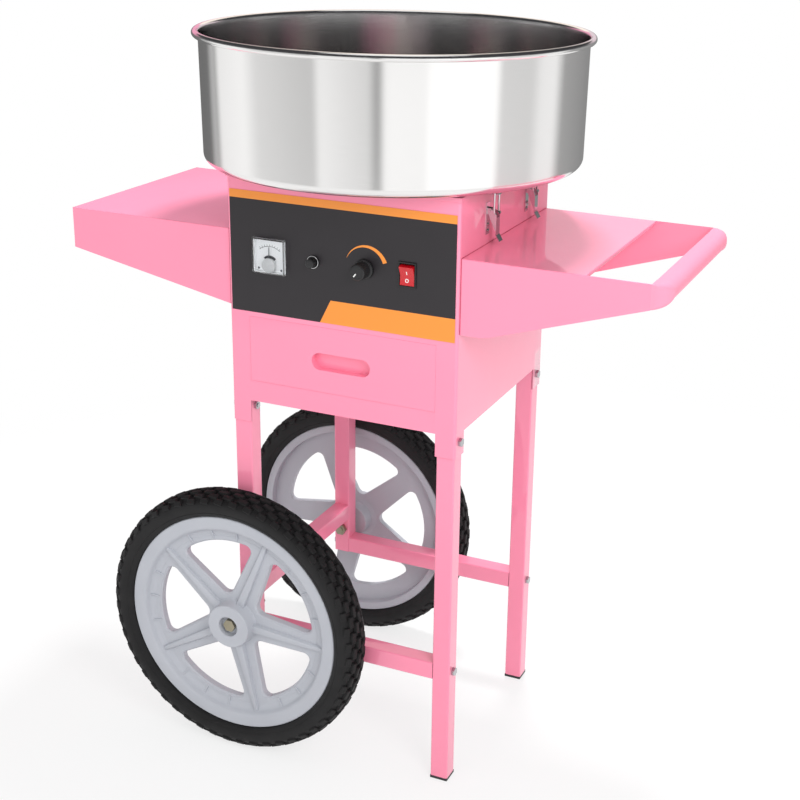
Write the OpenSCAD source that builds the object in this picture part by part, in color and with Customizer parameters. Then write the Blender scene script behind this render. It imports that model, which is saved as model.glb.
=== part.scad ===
// Cotton candy cart: a machine body with a spinning bowl on a leg frame with two wheels.
// Front is -Y, the wheels are at -X, the push handle is at +X, the floor is z = 0.

/* [Body] */
// Width of the body along X
body_w = 325; // [300:1:350]
// Depth of the body along Y
body_d = 314; // [290:1:340]
// Height of the deck's top face above the floor
body_top = 821; // [800:1:850]
// Height of the body from the apron's lower edge to the deck's top face
body_h = 308; // [300:1:330]
// Sheet thickness of the body and shelves
sheet_t = 1.5; // [1:0.1:2]
// Drop of the corner tabs below the apron
tab_h = 31; // [26:1:45]
// Width of each corner tab
tab_w = 28; // [27:0.5:36]
// Height of the deck's turned-down lip
lip_h = 6; // [4:0.5:10]
// Height of the floor plate above the apron's lower edge
floor_lift = 7; // [5:0.5:12]
// Radius of the deck's shaft hole
deck_hole_r = 16; // [14:0.5:20]

/* [Drawer] */
// Half width of the drawer front
drawer_hw = 133.3; // [120:0.1:135]
// Height of the drawer front's lower edge over the apron's lower edge
drawer_lift = 29; // [25:0.5:35]
// Height of the drawer front
drawer_h = 89; // [80:0.5:92]
// Gap between the drawer front and the shelf over it
drawer_top_gap = 3.5; // [3:0.5:6]
// Shadow gap round the drawer front
drawer_gap = 0.8; // [0.6:0.1:2]
// Depth of the drawer front's pressed edge
front_depth = 14.5; // [14:0.5:20]
// Length of the finger pull
pull_l = 84; // [60:1:100]
// Height of the finger pull
pull_h = 23; // [18:0.5:30]
// Depth of the finger pull
pull_depth = 12; // [8:0.5:12.5]
// Drop of the finger pull's middle below the drawer front's middle
pull_drop = 2.5; // [0:0.5:10]
// Half width of the tray
tray_hw = 124; // [110:0.5:125]
// Length of the tray behind the front
tray_l = 266; // [220:1:275]
// Height of the drawer front beyond the tray's walls
tray_less = 19; // [12:0.5:36]
// Wall of the tray
tray_t = 1.2; // [1:0.1:2]
// Running gap between the tray and its runners
slide_gap = 0.4; // [0.3:0.05:0.8]
// Width of the runner's ledge
ledge_w = 14; // [10:0.5:20]
// Drop of the runner's side below the tray's walls
runner_less = 10; // [4:0.5:25]

/* [Fascia and controls] */
// Height of the fascia's lower edge over the drawer shelf
fascia_lift = 3.5; // [1:0.5:10]
// Distance of the fascia's upper edge below the deck's top face
fascia_drop = 22; // [13:0.5:40]
// Distance of the fascia's ends from the body's corners
fascia_in = 4; // [0:0.5:6]
// Thickness of the fascia
fascia_t = 0.6; // [0.4:0.1:1]
// Drop of the row of controls below the fascia's middle
ctrl_drop = 1.5; // [-8:0.5:12]
// Meter position along X
meter_x = -100; // [-115:0.5:-85]
// Meter window, outer size
meter_s = 50; // [44:0.5:54]
// Depth of the meter window
meter_d = 11; // [9:0.5:16]
// Wall of the meter window
meter_t = 1.5; // [1:0.1:2]
// Radius of the meter's case behind the panel
meter_case_r = 20; // [16:0.5:21]
// Length of the meter's case behind the fascia
meter_case_l = 32; // [20:1:45]
// Thickness of the meter's dial
dial_t = 1; // [0.8:0.1:1.5]
// Drop of the needle's pivot below the dial's middle
needle_drop = 12; // [10:0.5:14]
// Length of the needle
needle_l = 24; // [18:0.5:26]
// Radius of the needle's pivot
pivot_r = 0.8; // [0.6:0.05:1.2]
// Fuse holder position along X
fuse_x = -37.5; // [-45:0.5:-30]
// Radius of the fuse holder's flange
fuse_flange_r = 8.5; // [8:0.1:10]
// Radius of the fuse holder's barrel and of its cap
fuse_r = 6; // [5.5:0.1:7]
// Radius of the fuse cap's spigot
fuse_spigot_r = 4; // [3.5:0.1:4.5]
// Height of the fuse cap
fuse_cap_h = 10; // [7:0.5:14]
// Length of the fuse holder behind the fascia
fuse_l = 28; // [24:1:40]
// Heat knob position along X
knob_x = 34.5; // [25:0.5:45]
// Radius of the knob's skirt
knob_r = 13; // [11:0.5:16]
// Radius of the knob's grip
grip_r = 10.5; // [8:0.5:10.8]
// Height of the knob over the fascia
knob_h = 22; // [16:0.5:28]
// Height of the knob's skirt
knob_skirt_h = 5; // [3:0.5:8]
// Radius of the knob's shaft
knob_shaft_r = 3; // [2.5:0.1:4]
// Radius of the heat control behind the panel
pot_r = 12; // [9:0.5:16]
// Depth of the heat control behind the panel
pot_d = 20; // [16:0.5:30]
// Switch position along X
switch_x = 93.5; // [85:0.5:105]
// Width of the switch bezel
bezel_w = 24; // [23:0.5:30]
// Height of the switch bezel
bezel_h = 33; // [31.5:0.5:40]
// Stand-out of the switch bezel
bezel_t = 2; // [1.5:0.1:3]
// Width of the rocker
rocker_w = 16; // [14:0.5:16.5]
// Half height of the rocker's face
rocker_hh = 10.2; // [8.5:0.1:10.5]
// Tilt of the rocker to each side
rocker_tilt = 10; // [6:0.5:11]
// Depth of the switch housing behind the fascia
switch_d = 26; // [20:0.5:36]
// Radial gap of small turning fits
turn_gap = 0.06; // [0.03:0.01:0.1]
// Gap of loose holes in panels
hole_gap = 0.3; // [0.2:0.05:0.6]

/* [Bowl] */
// Height of the bowl's rim over the deck's top face
bowl_rise = 173; // [140:1:200]
// Outer radius of the rim
rim_r = 260; // [240:1:280]
// Radius of the rolled bead
bead_r = 4.5; // [3.5:0.5:7]
// Outer radius of the wall's foot
bowl_foot_r = 249.5; // [228:0.5:250]
// Radius of the bowl's bottom corner
bowl_corner_r = 20; // [15:0.5:28]
// Thickness of the bowl
bowl_t = 1.2; // [0.8:0.1:2]
// Gap between the deck and the bowl
bowl_gap = 5; // [4:0.5:6]
// Radius of the bowl's shaft hole
neck_r = 14; // [12:0.5:18]
// Height of the collar round the shaft hole
neck_h = 30; // [20:1:40]
// Outer radius of the bowl's seat
seat_r = 140; // [110:1:145]
// Width of the bowl's seat
seat_w = 12; // [8:0.5:20]

/* [Latches] */
// Distance of each latch from the body's middle
latch_y = 70; // [60:0.5:90]
// Distance of the lever's pivot below the deck's top face
pivot_drop = 32; // [31.5:0.5:34]
// Stand-off of the lever's pivot from the wall
pivot_off = 5; // [4.8:0.1:6]
// Throw of the bail's pins from the lever's pivot
throw_r = 8; // [7.5:0.1:8.2]
// Radius of the lever's fixed pin
lever_pin_r = 1.5; // [1.2:0.05:1.6]
// Radius of the bail's wire
wire_r = 1.5; // [1.2:0.05:1.55]
// Half width of the bail between its wires
bail_hw = 8; // [8:0.1:9]
// Length of the lever below its pivot
lever_l = 30; // [26:0.5:32]
// Thickness of the latch sheet
latch_t = 1.2; // [1:0.1:1.3]
// Height of the latch's base plate
base_h = 41; // [34:0.5:42]

/* [Drive] */
// Radius of the motor
motor_r = 44; // [36:0.5:52]
// Height of the motor
motor_h = 90; // [60:1:110]
// Size of the motor's square flange
flange_s = 110; // [106:1:120]
// Thickness of the motor's flange
flange_t = 4; // [3:0.5:6]
// Gap between the deck plate and the motor's flange
stand_h = 24; // [22:0.5:32]
// Radius of the stand-off posts
post_r = 4; // [3:0.5:6]
// Distance of the posts from the shaft along X and Y
post_at = 47; // [46:0.5:48.5]
// Radius of the shaft
shaft_r = 6; // [5:0.1:7]
// Depth of the shaft in the motor
shaft_in = 50; // [40:1:60]
// Radius of the slip rings
ring_r = 13; // [11:0.5:14]
// Height of the slip rings
ring_h = 12; // [8:0.5:14]
// Height of the spinner above the bowl's bottom
head_lift = 60; // [45:1:66]
// Radius of the spinner
head_r = 62; // [50:0.5:75]
// Height of the heater band
band_h = 22; // [16:0.5:26]
// Thickness of the spinner's sheet
head_t = 2; // [1.5:0.1:3]
// Height of the boss under and over the spinner's floor
boss_h = 20; // [14:0.5:24]
// Length of the brush block from the slip rings
brush_len = 18; // [14:0.5:24]
// Radius of the lid's filling hole
fill_r = 22; // [16:0.5:30]

/* [Legs and rails] */
// Side of the square tube
leg_s = 25; // [20:0.5:25]
// Wall of the square tube
leg_t = 2; // [1.5:0.1:3]
// Drop of the long rails' middle below the axle
rail_drop = 26.5; // [24:0.5:34]
// Height of the left crossbar's middle over the axle
cross_lift = 30; // [28:0.5:46]
// Thickness of the foot caps under the tube
foot_t = 4; // [3:0.5:8]
// Depth of the foot caps inside the tube
foot_in = 14; // [8:0.5:20]
// Radius of the frame bolts
bolt_r = 3; // [2.5:0.1:4]
// Corner radius of the hex heads
hex_r = 6; // [5:0.1:7]
// Thickness of the hex heads
hex_t = 4; // [3:0.1:6]
// Radial gap of bolts in their holes
bolt_gap = 0.05; // [0.03:0.01:0.1]

/* [Wheels] */
// Height of the tyre's crown over the rim's seat
tyre_h = 39; // [32:0.5:44]
// Width of the tyre
tyre_w = 48; // [44:0.5:52]
// Distance of each wheel's middle from the body's middle
wheel_y = 185; // [184:0.5:190]
// Height of the rim's flanges over the tyre's seat
rim_flange_h = 5; // [3:0.5:7]
// Radius of the tyre's seat
seat_rim_r = 155; // [149:0.5:156]
// Thickness of the rim's barrel
barrel_t = 7; // [5:0.5:10]
// Width of the rim over its flanges
rim_w = 34; // [28:0.5:36]
// Thickness of each rim flange
rim_flange_t = 4; // [3:0.5:5]
// Radius of the hub
hub_r = 27; // [22:0.5:32]
// Stand-out of the hub to the outside
hub_out = 26; // [16:0.5:28]
// Stand-out of the hub to the frame
hub_in = 23.6; // [20:0.1:23.8]
// Radius of the round web at the hub
hub_web_r = 42; // [36:0.5:50]
// Width of the ledge inside the tyre's seat
ledge_w_in = 34; // [24:0.5:44]
// Width of the outer flange's flat face
flange_face = 19; // [14:0.5:21]
// Thickness of the web and spokes
web_t = 9; // [6:0.5:12]
// Width of a spoke
spoke_w = 36; // [24:0.5:42]
// Set-back of a spoke's faces from the hub's web
spoke_low = 0.4; // [0.2:0.1:1]
// Width of a spoke's ridge
ridge_w = 8; // [4:0.5:12]
// Height of a spoke's ridge over the web
ridge_h = 6; // [3:0.5:6]
// Turn of the front wheel's first spoke from +X
spoke_turn_front = 4.5; // [0:0.5:72]
// Turn of the rear wheel's first spoke from +X
spoke_turn_rear = 30.5; // [0:0.5:72]
// Radius of the axle bolt
axle_r = 5; // [4:0.1:6]
// Corner radius of the axle's hex head and nut
axle_hex_r = 9.2; // [8:0.1:10]
// Thickness of the axle's hex head
axle_hex_t = 6.4; // [5:0.1:7]
// Radius of the hub's recess for the bolt head
recess_r = 14.5; // [11.5:0.5:18]
// Depth of the hub's recess
recess_d = 10; // [8:0.5:14]
// End play of a wheel on its axle
end_play = 0.4; // [0.2:0.05:0.8]

/* [Shelves and handle] */
// Distance of the shelves' top faces below the deck's top face
shelf_drop = 76; // [73:0.5:79]
// Depth of the shelves along Y
shelf_d = 306; // [280:1:312]
// Length of the left shelf
left_l = 247.5; // [200:0.5:280]
// Height of the left shelf's skirt at the body
left_skirt = 102; // [90:1:106]
// Height of the left shelf's skirt at its tip
left_tip = 55; // [40:1:70]
// Length of the right shelf's plate
right_l = 159; // [130:0.5:180]
// Width of the hand-hold gap
grip_gap = 79; // [60:0.5:100]
// Height of the right shelf's skirt at the body
right_skirt = 97; // [85:1:105]
// Length of the right skirt's level part
right_level = 26; // [15:0.5:40]
// Radius of the handle bar
handle_r = 14; // [11:0.5:15]
// Radius of the skirt's rounded end
skirt_end_r = 16; // [15.5:0.5:20]
// Height of the right plate's turned-down edge
plate_lip = 20; // [12:0.5:30]
// Radius of the shelf screws
screw_r = 2.5; // [2:0.1:3]
// Radius of the shelf screws' heads
screw_head_r = 4.5; // [4:0.1:6]

/* [Electrics] */
// Radius of the gland's cable bore
gland_bore_r = 4.2; // [3:0.1:5]
// Radius of the gland's thread
gland_r = 8; // [7:0.1:10]
// Radius of the gland's flange
gland_flange_r = 11; // [11:0.1:14]
// Gland position along X
gland_x = 100; // [80:1:115]
// Height of the gland over the drawer shelf
gland_lift = 35.5; // [25:0.5:55]
// Height of each vent slot in the back
vent_h = 5; // [3:0.5:7]
// Pitch of the vent slots
vent_pitch = 14; // [10:0.5:16]
// Width of the transformer
trafo_w = 90; // [70:1:110]
// Depth of the transformer
trafo_d = 60; // [50:1:70]
// Height of the transformer
trafo_h = 50; // [40:1:60]

/* [Hidden] */
hw = body_w / 2;
hd = body_d / 2;
fit = 0.02;
// Ends of the cart along X, which set its middle
x_right = hw + right_l + grip_gap + handle_r + skirt_end_r;
x_left = hw + left_l;
frame_dx = (x_left - x_right) / 2;
// Faces used by several nodes
fas_y = -hd - fascia_t;
apron_z = body_top - body_h;
drawer_z0 = apron_z + drawer_lift;
drawer_z1 = drawer_z0 + drawer_h;
mid_z = drawer_z1 + drawer_top_gap;
fascia_z0 = mid_z + fascia_lift;
fascia_z1 = body_top - fascia_drop;
ctrl_z = (fascia_z0 + fascia_z1) / 2 - ctrl_drop;
rim_z = body_top + bowl_rise;
shelf_z = body_top - shelf_drop;
gland_z = mid_z + gland_lift;
plate_z = apron_z + floor_lift;
deck_under = body_top - sheet_t;
leg_x1 = hw - sheet_t;
leg_x0 = leg_x1 - leg_s;
leg_y1 = hd - sheet_t;
leg_y0 = leg_y1 - leg_s;
tab_bolt_z = apron_z - tab_h / 2 + 4;
bowl_z = body_top + bowl_gap;
shelf_hd = shelf_d / 2;
// Drawer
pull_z = (drawer_z0 + drawer_z1) / 2 - pull_drop;
tray_h = drawer_h - tray_less;
runner_h = tray_h - runner_less;
tray_y0 = -hd + front_depth;
tray_z0 = drawer_z0 + 6;
runner_y0 = tray_y0 + 4;
runner_l = hd - sheet_t - runner_y0;
// Distance of the drawer front's stays from the tray's sides
stay_in = 20;
// Controls
meter_in = meter_s - 2 * meter_t;
dial_s = meter_in - 0.5;
needle_z = ctrl_z - needle_drop;
needle_y = fas_y - 4.2;
sw_body_w = bezel_w - 3;
sw_body_h = bezel_h - 4;
pocket_w = rocker_w + 0.6;
pocket_h = 26;
rocker_y = fas_y + 4;
// Latch
piv_x = hw + pivot_off;
piv_z = body_top - pivot_drop;
bail_x = piv_x + throw_r * cos(30);
bail_z = piv_z - throw_r * sin(30);
bar_z = bowl_z - throw_r * (sin(60) + sin(30)) - wire_r - 0.6;
keep_x = bail_x - throw_r * (cos(30) - cos(60)) - wire_r - 0.8;
keep_y = bail_hw - wire_r - 1;
lip_x = bail_x + throw_r * (1 - cos(30)) + wire_r + 0.4;
ear_y = 3.2;
cheek_y = ear_y + latch_t + 0.4;
pin_y = cheek_y + latch_t;
// Drive
bracket_t = 3;
bracket_z = deck_under - bracket_t;
motor_top = bracket_z - stand_h;
head_z = bowl_z + head_lift;
lid_z = head_z + head_t + band_h;
shaft_z0 = motor_top - shaft_in;
// Wheels
tyre_r = seat_rim_r + tyre_h;
flange_r = seat_rim_r + rim_flange_h;
ledge_r = seat_rim_r - ledge_w_in;
flange_in_r = flange_r - flange_face;
axle_z = tyre_r;
rail_z = axle_z - rail_drop;
cross_z = axle_z + cross_lift;
axle_x = -(leg_x0 + leg_x1) / 2;
hub_face = wheel_y + hub_out;
head_at = hub_face - recess_d + end_play;
hub_back = wheel_y - hub_in;
nut_t = 7.5;
// Handle
handle_x = hw + right_l + grip_gap + handle_r;
handle_z = shelf_z - skirt_end_r;

$fn = 96;

// Helpers

module place() {
    translate([frame_dx, 0, 0]) children();
}

// A box given by its low and high corners
module box(a, b) {
    translate(a) cube(b - a);
}

// A cylinder along Y from y0 to y1
module rod_y(x, z, y0, y1, r) {
    translate([x, y1, z]) rotate([90, 0, 0]) cylinder(h = y1 - y0, r = r);
}

// A cylinder along X from x0 to x1
module rod_x(x0, x1, y, z, r) {
    translate([x0, y, z]) rotate([0, 90, 0]) cylinder(h = x1 - x0, r = r);
}

module hex_x(x0, x1, y, z, r) {
    translate([x0, y, z]) rotate([0, 90, 0]) cylinder(h = x1 - x0, r = r, $fn = 6);
}

module hex_y(x, z, y0, y1, r) {
    translate([x, y1, z]) rotate([90, 0, 0]) cylinder(h = y1 - y0, r = r, $fn = 6);
}

// An oblong plug along Y
module oblong(l, h, z, y0, y1) {
    e = (l - h) / 2;
    box([-e, y0, z - h / 2], [e, y1, z + h / 2]);
    for (s = [-1, 1]) rod_y(s * e, z, y0, y1, h / 2);
}

// A plate drawn in X and Z, from y0 to y1
module plate_xz(pts, y0, y1) {
    translate([0, y1, 0]) rotate([90, 0, 0]) linear_extrude(height = y1 - y0) polygon(pts);
}

// Repeats for both sides of the middle plane in X or in Y
module both_x() {
    children();
    mirror([1, 0, 0]) children();
}

module both_y() {
    children();
    mirror([0, 1, 0]) children();
}

// Body

module front_panel() color([1, 0.5, 0.65]) place() difference() {
    union() {
        box([-hw, -hd, apron_z], [hw, -hd + sheet_t, deck_under]);
        both_x() box([hw - tab_w, -hd, apron_z - tab_h], [hw, -hd + sheet_t, apron_z + sheet_t]);
    }
    box([-drawer_hw - drawer_gap, -hd - 1, drawer_z0 - drawer_gap],
        [drawer_hw + drawer_gap, -hd + sheet_t + 1, drawer_z1 + drawer_gap]);
    rod_y(meter_x, ctrl_z, -hd - 1, -hd + sheet_t + 1, meter_case_r + hole_gap);
    rod_y(fuse_x, ctrl_z, -hd - 1, -hd + sheet_t + 1, fuse_r + hole_gap);
    rod_y(knob_x, ctrl_z, -hd - 1, -hd + sheet_t + 1, knob_shaft_r + hole_gap);
    box([switch_x - sw_body_w / 2 - hole_gap, -hd - 1, ctrl_z - sw_body_h / 2 - hole_gap],
        [switch_x + sw_body_w / 2 + hole_gap, -hd + sheet_t + 1, ctrl_z + sw_body_h / 2 + hole_gap]);
}

// Holes for the three screws that hold a shelf
module shelf_holes(x0, x1) {
    for (k = [-1, 0, 1]) rod_x(x0, x1, k * screw_pitch(), screw_z(), screw_r + bolt_gap);
}

function screw_pitch() = shelf_hd - 45;
function screw_z() = shelf_z - 45;
function side_in() = hd - sheet_t;

module side_panel() difference() {
    union() {
        box([hw - sheet_t, -side_in(), apron_z], [hw, side_in(), deck_under]);
        both_y() box([hw - sheet_t, -side_in(), apron_z - tab_h], [hw, -hd + tab_w, apron_z + sheet_t]);
    }
    both_y() rod_x(hw - sheet_t - 1, hw + 1, leg_y0 + leg_s / 2, tab_bolt_z, bolt_r + bolt_gap);
    shelf_holes(hw - sheet_t - 1, hw + 1);
}

module right_side_panel() color([1, 0.5, 0.65]) place() side_panel();

module left_side_panel() color([1, 0.5, 0.65]) place() mirror([1, 0, 0]) side_panel();

module back_panel() color([1, 0.5, 0.65]) place() difference() {
    union() {
        box([-hw, hd - sheet_t, apron_z], [hw, hd, deck_under]);
        both_x() box([hw - tab_w, hd - sheet_t, apron_z - tab_h], [hw, hd, apron_z + sheet_t]);
    }
    rod_y(gland_x, gland_z, hd - sheet_t - 1, hd + 1, gland_r + hole_gap);
    for (k = [-1 : 3])
        box([-60, hd - sheet_t - 1, ctrl_z + k * vent_pitch - 3], [20, hd + 1, ctrl_z + k * vent_pitch - 3 + vent_h]);
}

module top_deck() color([1, 0.5, 0.65]) place() difference() {
    box([-hw - sheet_t, -hd - sheet_t, body_top - lip_h], [hw + sheet_t, hd + sheet_t, body_top]);
    box([-hw, -hd, body_top - lip_h - 1], [hw, hd, deck_under]);
    translate([0, 0, body_top - lip_h]) cylinder(h = lip_h + 1, r = deck_hole_r);
}

module mid_shelf() color([0.75, 0.76, 0.78]) place()
    box([-hw + sheet_t, -hd + sheet_t, mid_z], [hw - sheet_t, hd - sheet_t, mid_z + sheet_t]);

module bottom_plate() color([0.75, 0.76, 0.78]) place()
    box([-hw + sheet_t, -hd + sheet_t, plate_z], [hw - sheet_t, hd - sheet_t, plate_z + sheet_t]);

// Drawer

module drawer_runners() color([0.75, 0.76, 0.78]) place() both_x() {
    w0 = tray_hw + slide_gap;
    z0 = plate_z + sheet_t;
    zl = tray_z0 - slide_gap;
    box([w0, runner_y0, z0], [w0 + sheet_t, runner_y0 + runner_l, z0 + runner_h]);
    box([w0 - ledge_w, runner_y0, zl - sheet_t], [w0 + sheet_t, runner_y0 + runner_l, zl]);
}

module drawer_front() color([1, 0.5, 0.65]) place() difference() {
    union() {
        difference() {
            box([-drawer_hw, -hd, drawer_z0], [drawer_hw, -hd + front_depth, drawer_z1]);
            box([-drawer_hw + sheet_t, -hd + sheet_t, drawer_z0 + sheet_t],
                [drawer_hw - sheet_t, -hd + front_depth + 1, drawer_z1 - sheet_t]);
        }
        oblong(pull_l + 2 * sheet_t, pull_h + 2 * sheet_t, pull_z, -hd, -hd + pull_depth + sheet_t);
        both_x() box([tray_hw - stay_in, -hd + sheet_t / 2, tray_z0 + stay_in / 2],
            [tray_hw - stay_in / 2, -hd + front_depth, tray_z0 + tray_h - stay_in / 2]);
    }
    oblong(pull_l, pull_h, pull_z, -hd - 1, -hd + pull_depth);
}

module drawer_tray() color([0.75, 0.76, 0.78]) place() difference() {
    box([-tray_hw, tray_y0, tray_z0], [tray_hw, tray_y0 + tray_l, tray_z0 + tray_h]);
    box([-tray_hw + tray_t, tray_y0 + tray_t, tray_z0 + tray_t],
        [tray_hw - tray_t, tray_y0 + tray_l - tray_t, tray_z0 + tray_h + 1]);
}

// Controls

module control_fascia() color([0.1, 0.1, 0.11]) place() difference() {
    box([-hw + fascia_in, fas_y, fascia_z0], [hw - fascia_in, -hd, fascia_z1]);
    rod_y(meter_x, ctrl_z, fas_y - 1, -hd + 1, meter_case_r + hole_gap);
    rod_y(fuse_x, ctrl_z, fas_y - 1, -hd + 1, fuse_r + hole_gap);
    rod_y(knob_x, ctrl_z, fas_y - 1, -hd + 1, knob_shaft_r + hole_gap);
    box([switch_x - sw_body_w / 2 - hole_gap, fas_y - 1, ctrl_z - sw_body_h / 2 - hole_gap],
        [switch_x + sw_body_w / 2 + hole_gap, -hd + 1, ctrl_z + sw_body_h / 2 + hole_gap]);
}

module meter_case() color([0.12, 0.12, 0.13]) place() {
    rod_y(meter_x, ctrl_z, fas_y, fas_y + meter_case_l, meter_case_r);
    for (s = [-1, 1])
        rod_y(meter_x + s * meter_case_r / 2, ctrl_z, fas_y + meter_case_l - 1, fas_y + meter_case_l + 8, 2);
}

module meter_dial() color([0.95, 0.95, 0.95]) place() {
    box([meter_x - dial_s / 2, fas_y - dial_t, ctrl_z - dial_s / 2], [meter_x + dial_s / 2, fas_y, ctrl_z + dial_s / 2]);
    rod_y(meter_x, needle_z, needle_y - 1, fas_y - dial_t / 2, pivot_r);
}

module meter_needle() color([0.05, 0.05, 0.05]) place() difference() {
    union() {
        rod_y(meter_x, needle_z, needle_y, needle_y + 1.4, pivot_r + 1.6);
        box([meter_x - 0.4, needle_y + 0.4, needle_z], [meter_x + 0.4, needle_y + 1, needle_z + needle_l]);
    }
    rod_y(meter_x, needle_z, needle_y - 1, needle_y + 3, pivot_r + turn_gap);
}

module meter_lens() color([0.9, 0.93, 0.95, 0.4]) place() difference() {
    box([meter_x - meter_s / 2, fas_y - meter_d, ctrl_z - meter_s / 2], [meter_x + meter_s / 2, fas_y, ctrl_z + meter_s / 2]);
    box([meter_x - meter_in / 2, fas_y - meter_d + meter_t, ctrl_z - meter_in / 2],
        [meter_x + meter_in / 2, fas_y + 1, ctrl_z + meter_in / 2]);
}

module fuse_holder() color([0.1, 0.1, 0.1]) place() difference() {
    union() {
        rod_y(fuse_x, ctrl_z, fas_y - 2, fas_y, fuse_flange_r);
        rod_y(fuse_x, ctrl_z, fas_y - 1, fas_y + fuse_l, fuse_r);
    }
    rod_y(fuse_x, ctrl_z, fas_y - 3, fas_y + fuse_l - 4, fuse_spigot_r + turn_gap);
}

module fuse_cap() color([0.06, 0.06, 0.06]) place() difference() {
    union() {
        rod_y(fuse_x, ctrl_z, fas_y - 2 - end_play - fuse_cap_h, fas_y - 2 - end_play, fuse_r);
        rod_y(fuse_x, ctrl_z, fas_y - 3 - end_play, fas_y + fuse_l - 8, fuse_spigot_r);
    }
    box([fuse_x - fuse_r, fas_y - 3 - end_play - fuse_cap_h, ctrl_z - 0.6],
        [fuse_x + fuse_r, fas_y - 1 - end_play - fuse_cap_h, ctrl_z + 0.6]);
}

module heat_control() color([0.4, 0.4, 0.42]) place() difference() {
    rod_y(knob_x, ctrl_z, -hd + sheet_t, -hd + sheet_t + pot_d, pot_r);
    rod_y(knob_x, ctrl_z, -hd, -hd + sheet_t + pot_d - 4, knob_shaft_r + turn_gap);
}

module heat_knob() color([0.06, 0.06, 0.06]) place() {
    y1 = fas_y - 0.6;
    rod_y(knob_x, ctrl_z, y1 - knob_skirt_h, y1, knob_r);
    rod_y(knob_x, ctrl_z, fas_y - knob_h, y1 - 1, grip_r);
    rod_y(knob_x, ctrl_z, y1 - 1, -hd + sheet_t + pot_d - 6, knob_shaft_r);
}

module switch_housing() color([0.06, 0.06, 0.06]) place() difference() {
    union() {
        box([switch_x - bezel_w / 2, fas_y - bezel_t, ctrl_z - bezel_h / 2], [switch_x + bezel_w / 2, fas_y, ctrl_z + bezel_h / 2]);
        box([switch_x - sw_body_w / 2, fas_y - 1, ctrl_z - sw_body_h / 2],
            [switch_x + sw_body_w / 2, fas_y + switch_d, ctrl_z + sw_body_h / 2]);
    }
    box([switch_x - pocket_w / 2, fas_y - bezel_t - 1, ctrl_z - pocket_h / 2],
        [switch_x + pocket_w / 2, fas_y + 12, ctrl_z + pocket_h / 2]);
    rod_x(switch_x - pocket_w / 2 - 1.4, switch_x + pocket_w / 2 + 1.4, rocker_y, ctrl_z, 1.5 + turn_gap);
}

module switch_rocker() color([0.75, 0.06, 0.1]) place() translate([switch_x, rocker_y, ctrl_z]) rotate([rocker_tilt, 0, 0]) {
    translate([-rocker_w / 2, 0, 0]) rotate([90, 0, 90]) linear_extrude(height = rocker_w)
        polygon([[4, -rocker_hh + 0.7], [4, rocker_hh - 0.7], [0, rocker_hh + 0.5], [-8.2, rocker_hh],
            [-5, 0], [-8.2, -rocker_hh], [0, -rocker_hh - 0.5]]);
    rod_x(-pocket_w / 2 - 1, pocket_w / 2 + 1, 0, 0, 1.5);
}

// Bowl

module bowl() color([0.8, 0.8, 0.8]) place() {
    ca = bowl_foot_r - bowl_corner_r;
    cz = bowl_z + bowl_corner_r;
    ri = bowl_corner_r - bowl_t;
    rt = rim_r - bead_r - bead_r + bowl_t;
    zt = rim_z - bead_r;
    outer = [for (a = [-90 : 15 : 0]) [ca + bowl_corner_r * cos(a), cz + bowl_corner_r * sin(a)]];
    inner = [for (a = [0 : -15 : -90]) [ca + ri * cos(a), cz + ri * sin(a)]];
    rotate_extrude() polygon(concat([[neck_r, bowl_z]], outer, [[rt, zt], [rt - bowl_t, zt]], inner,
        [[neck_r, bowl_z + bowl_t]]));
    rotate_extrude() translate([neck_r, bowl_z]) square([bowl_t, neck_h]);
    rotate_extrude() translate([rim_r - bead_r, rim_z - bead_r]) circle(r = bead_r);
}

module bowl_seat() color([0.08, 0.08, 0.08]) place() difference() {
    translate([0, 0, body_top]) cylinder(h = bowl_gap, r = seat_r);
    translate([0, 0, body_top - 1]) cylinder(h = bowl_gap + 2, r = seat_r - seat_w);
}

module keeper() {
    z0 = bar_z - wire_r - 0.05;
    box([keep_x - latch_t, -keep_y, z0 - latch_t], [keep_x, keep_y, bowl_z]);
    box([keep_x - latch_t, -keep_y, z0 - latch_t], [lip_x + latch_t, keep_y, z0]);
    box([lip_x, -keep_y, z0 - latch_t], [lip_x + latch_t, keep_y, z0 + 3]);
    box([keep_x - 12, -keep_y, bowl_z - latch_t], [keep_x, keep_y, bowl_z]);
}

module bowl_keepers() color([0.75, 0.76, 0.78]) place() both_x() both_y() translate([0, latch_y, 0]) keeper();

// Latches

module latch_base() {
    zt = piv_z + 10;
    box([hw, -9, zt - base_h], [hw + latch_t, 9, zt]);
    both_y() box([hw, ear_y, piv_z - 5], [piv_x, ear_y + latch_t, piv_z + 3]);
    both_y() rod_y(piv_x, piv_z, ear_y, ear_y + latch_t, 3);
    rod_y(piv_x, piv_z, -pin_y - 0.4, pin_y + 0.4, lever_pin_r);
}

module latch_bases() color([0.75, 0.76, 0.78]) place() both_x() both_y() translate([0, latch_y, 0]) latch_base();

module latch_lever() difference() {
    dx = bail_x - piv_x;
    dz = bail_z - piv_z;
    wx = dx + 1.4;
    union() {
        both_y() translate([piv_x, 0, piv_z]) plate_xz([[0, 3], [dx, dz + 2.4], [wx + latch_t, dz - 1],
            [wx + latch_t, -lever_l + 4], [wx, -lever_l + 4], [-2.4, -1.8]], cheek_y, pin_y);
        both_y() rod_y(piv_x, piv_z, cheek_y, pin_y, 3);
        translate([piv_x, 0, piv_z]) plate_xz([[wx, dz - 4], [wx + latch_t, dz - 4], [wx + latch_t, -lever_l],
            [wx + 6, -lever_l - 8], [wx + 6 - latch_t, -lever_l - 8], [wx, -lever_l]], -pin_y, pin_y);
        both_y() rod_y(bail_x, bail_z, cheek_y, bail_hw + wire_r, wire_r - 0.3);
    }
    rod_y(piv_x, piv_z, -pin_y - 1, pin_y + 1, lever_pin_r + turn_gap);
}

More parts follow.
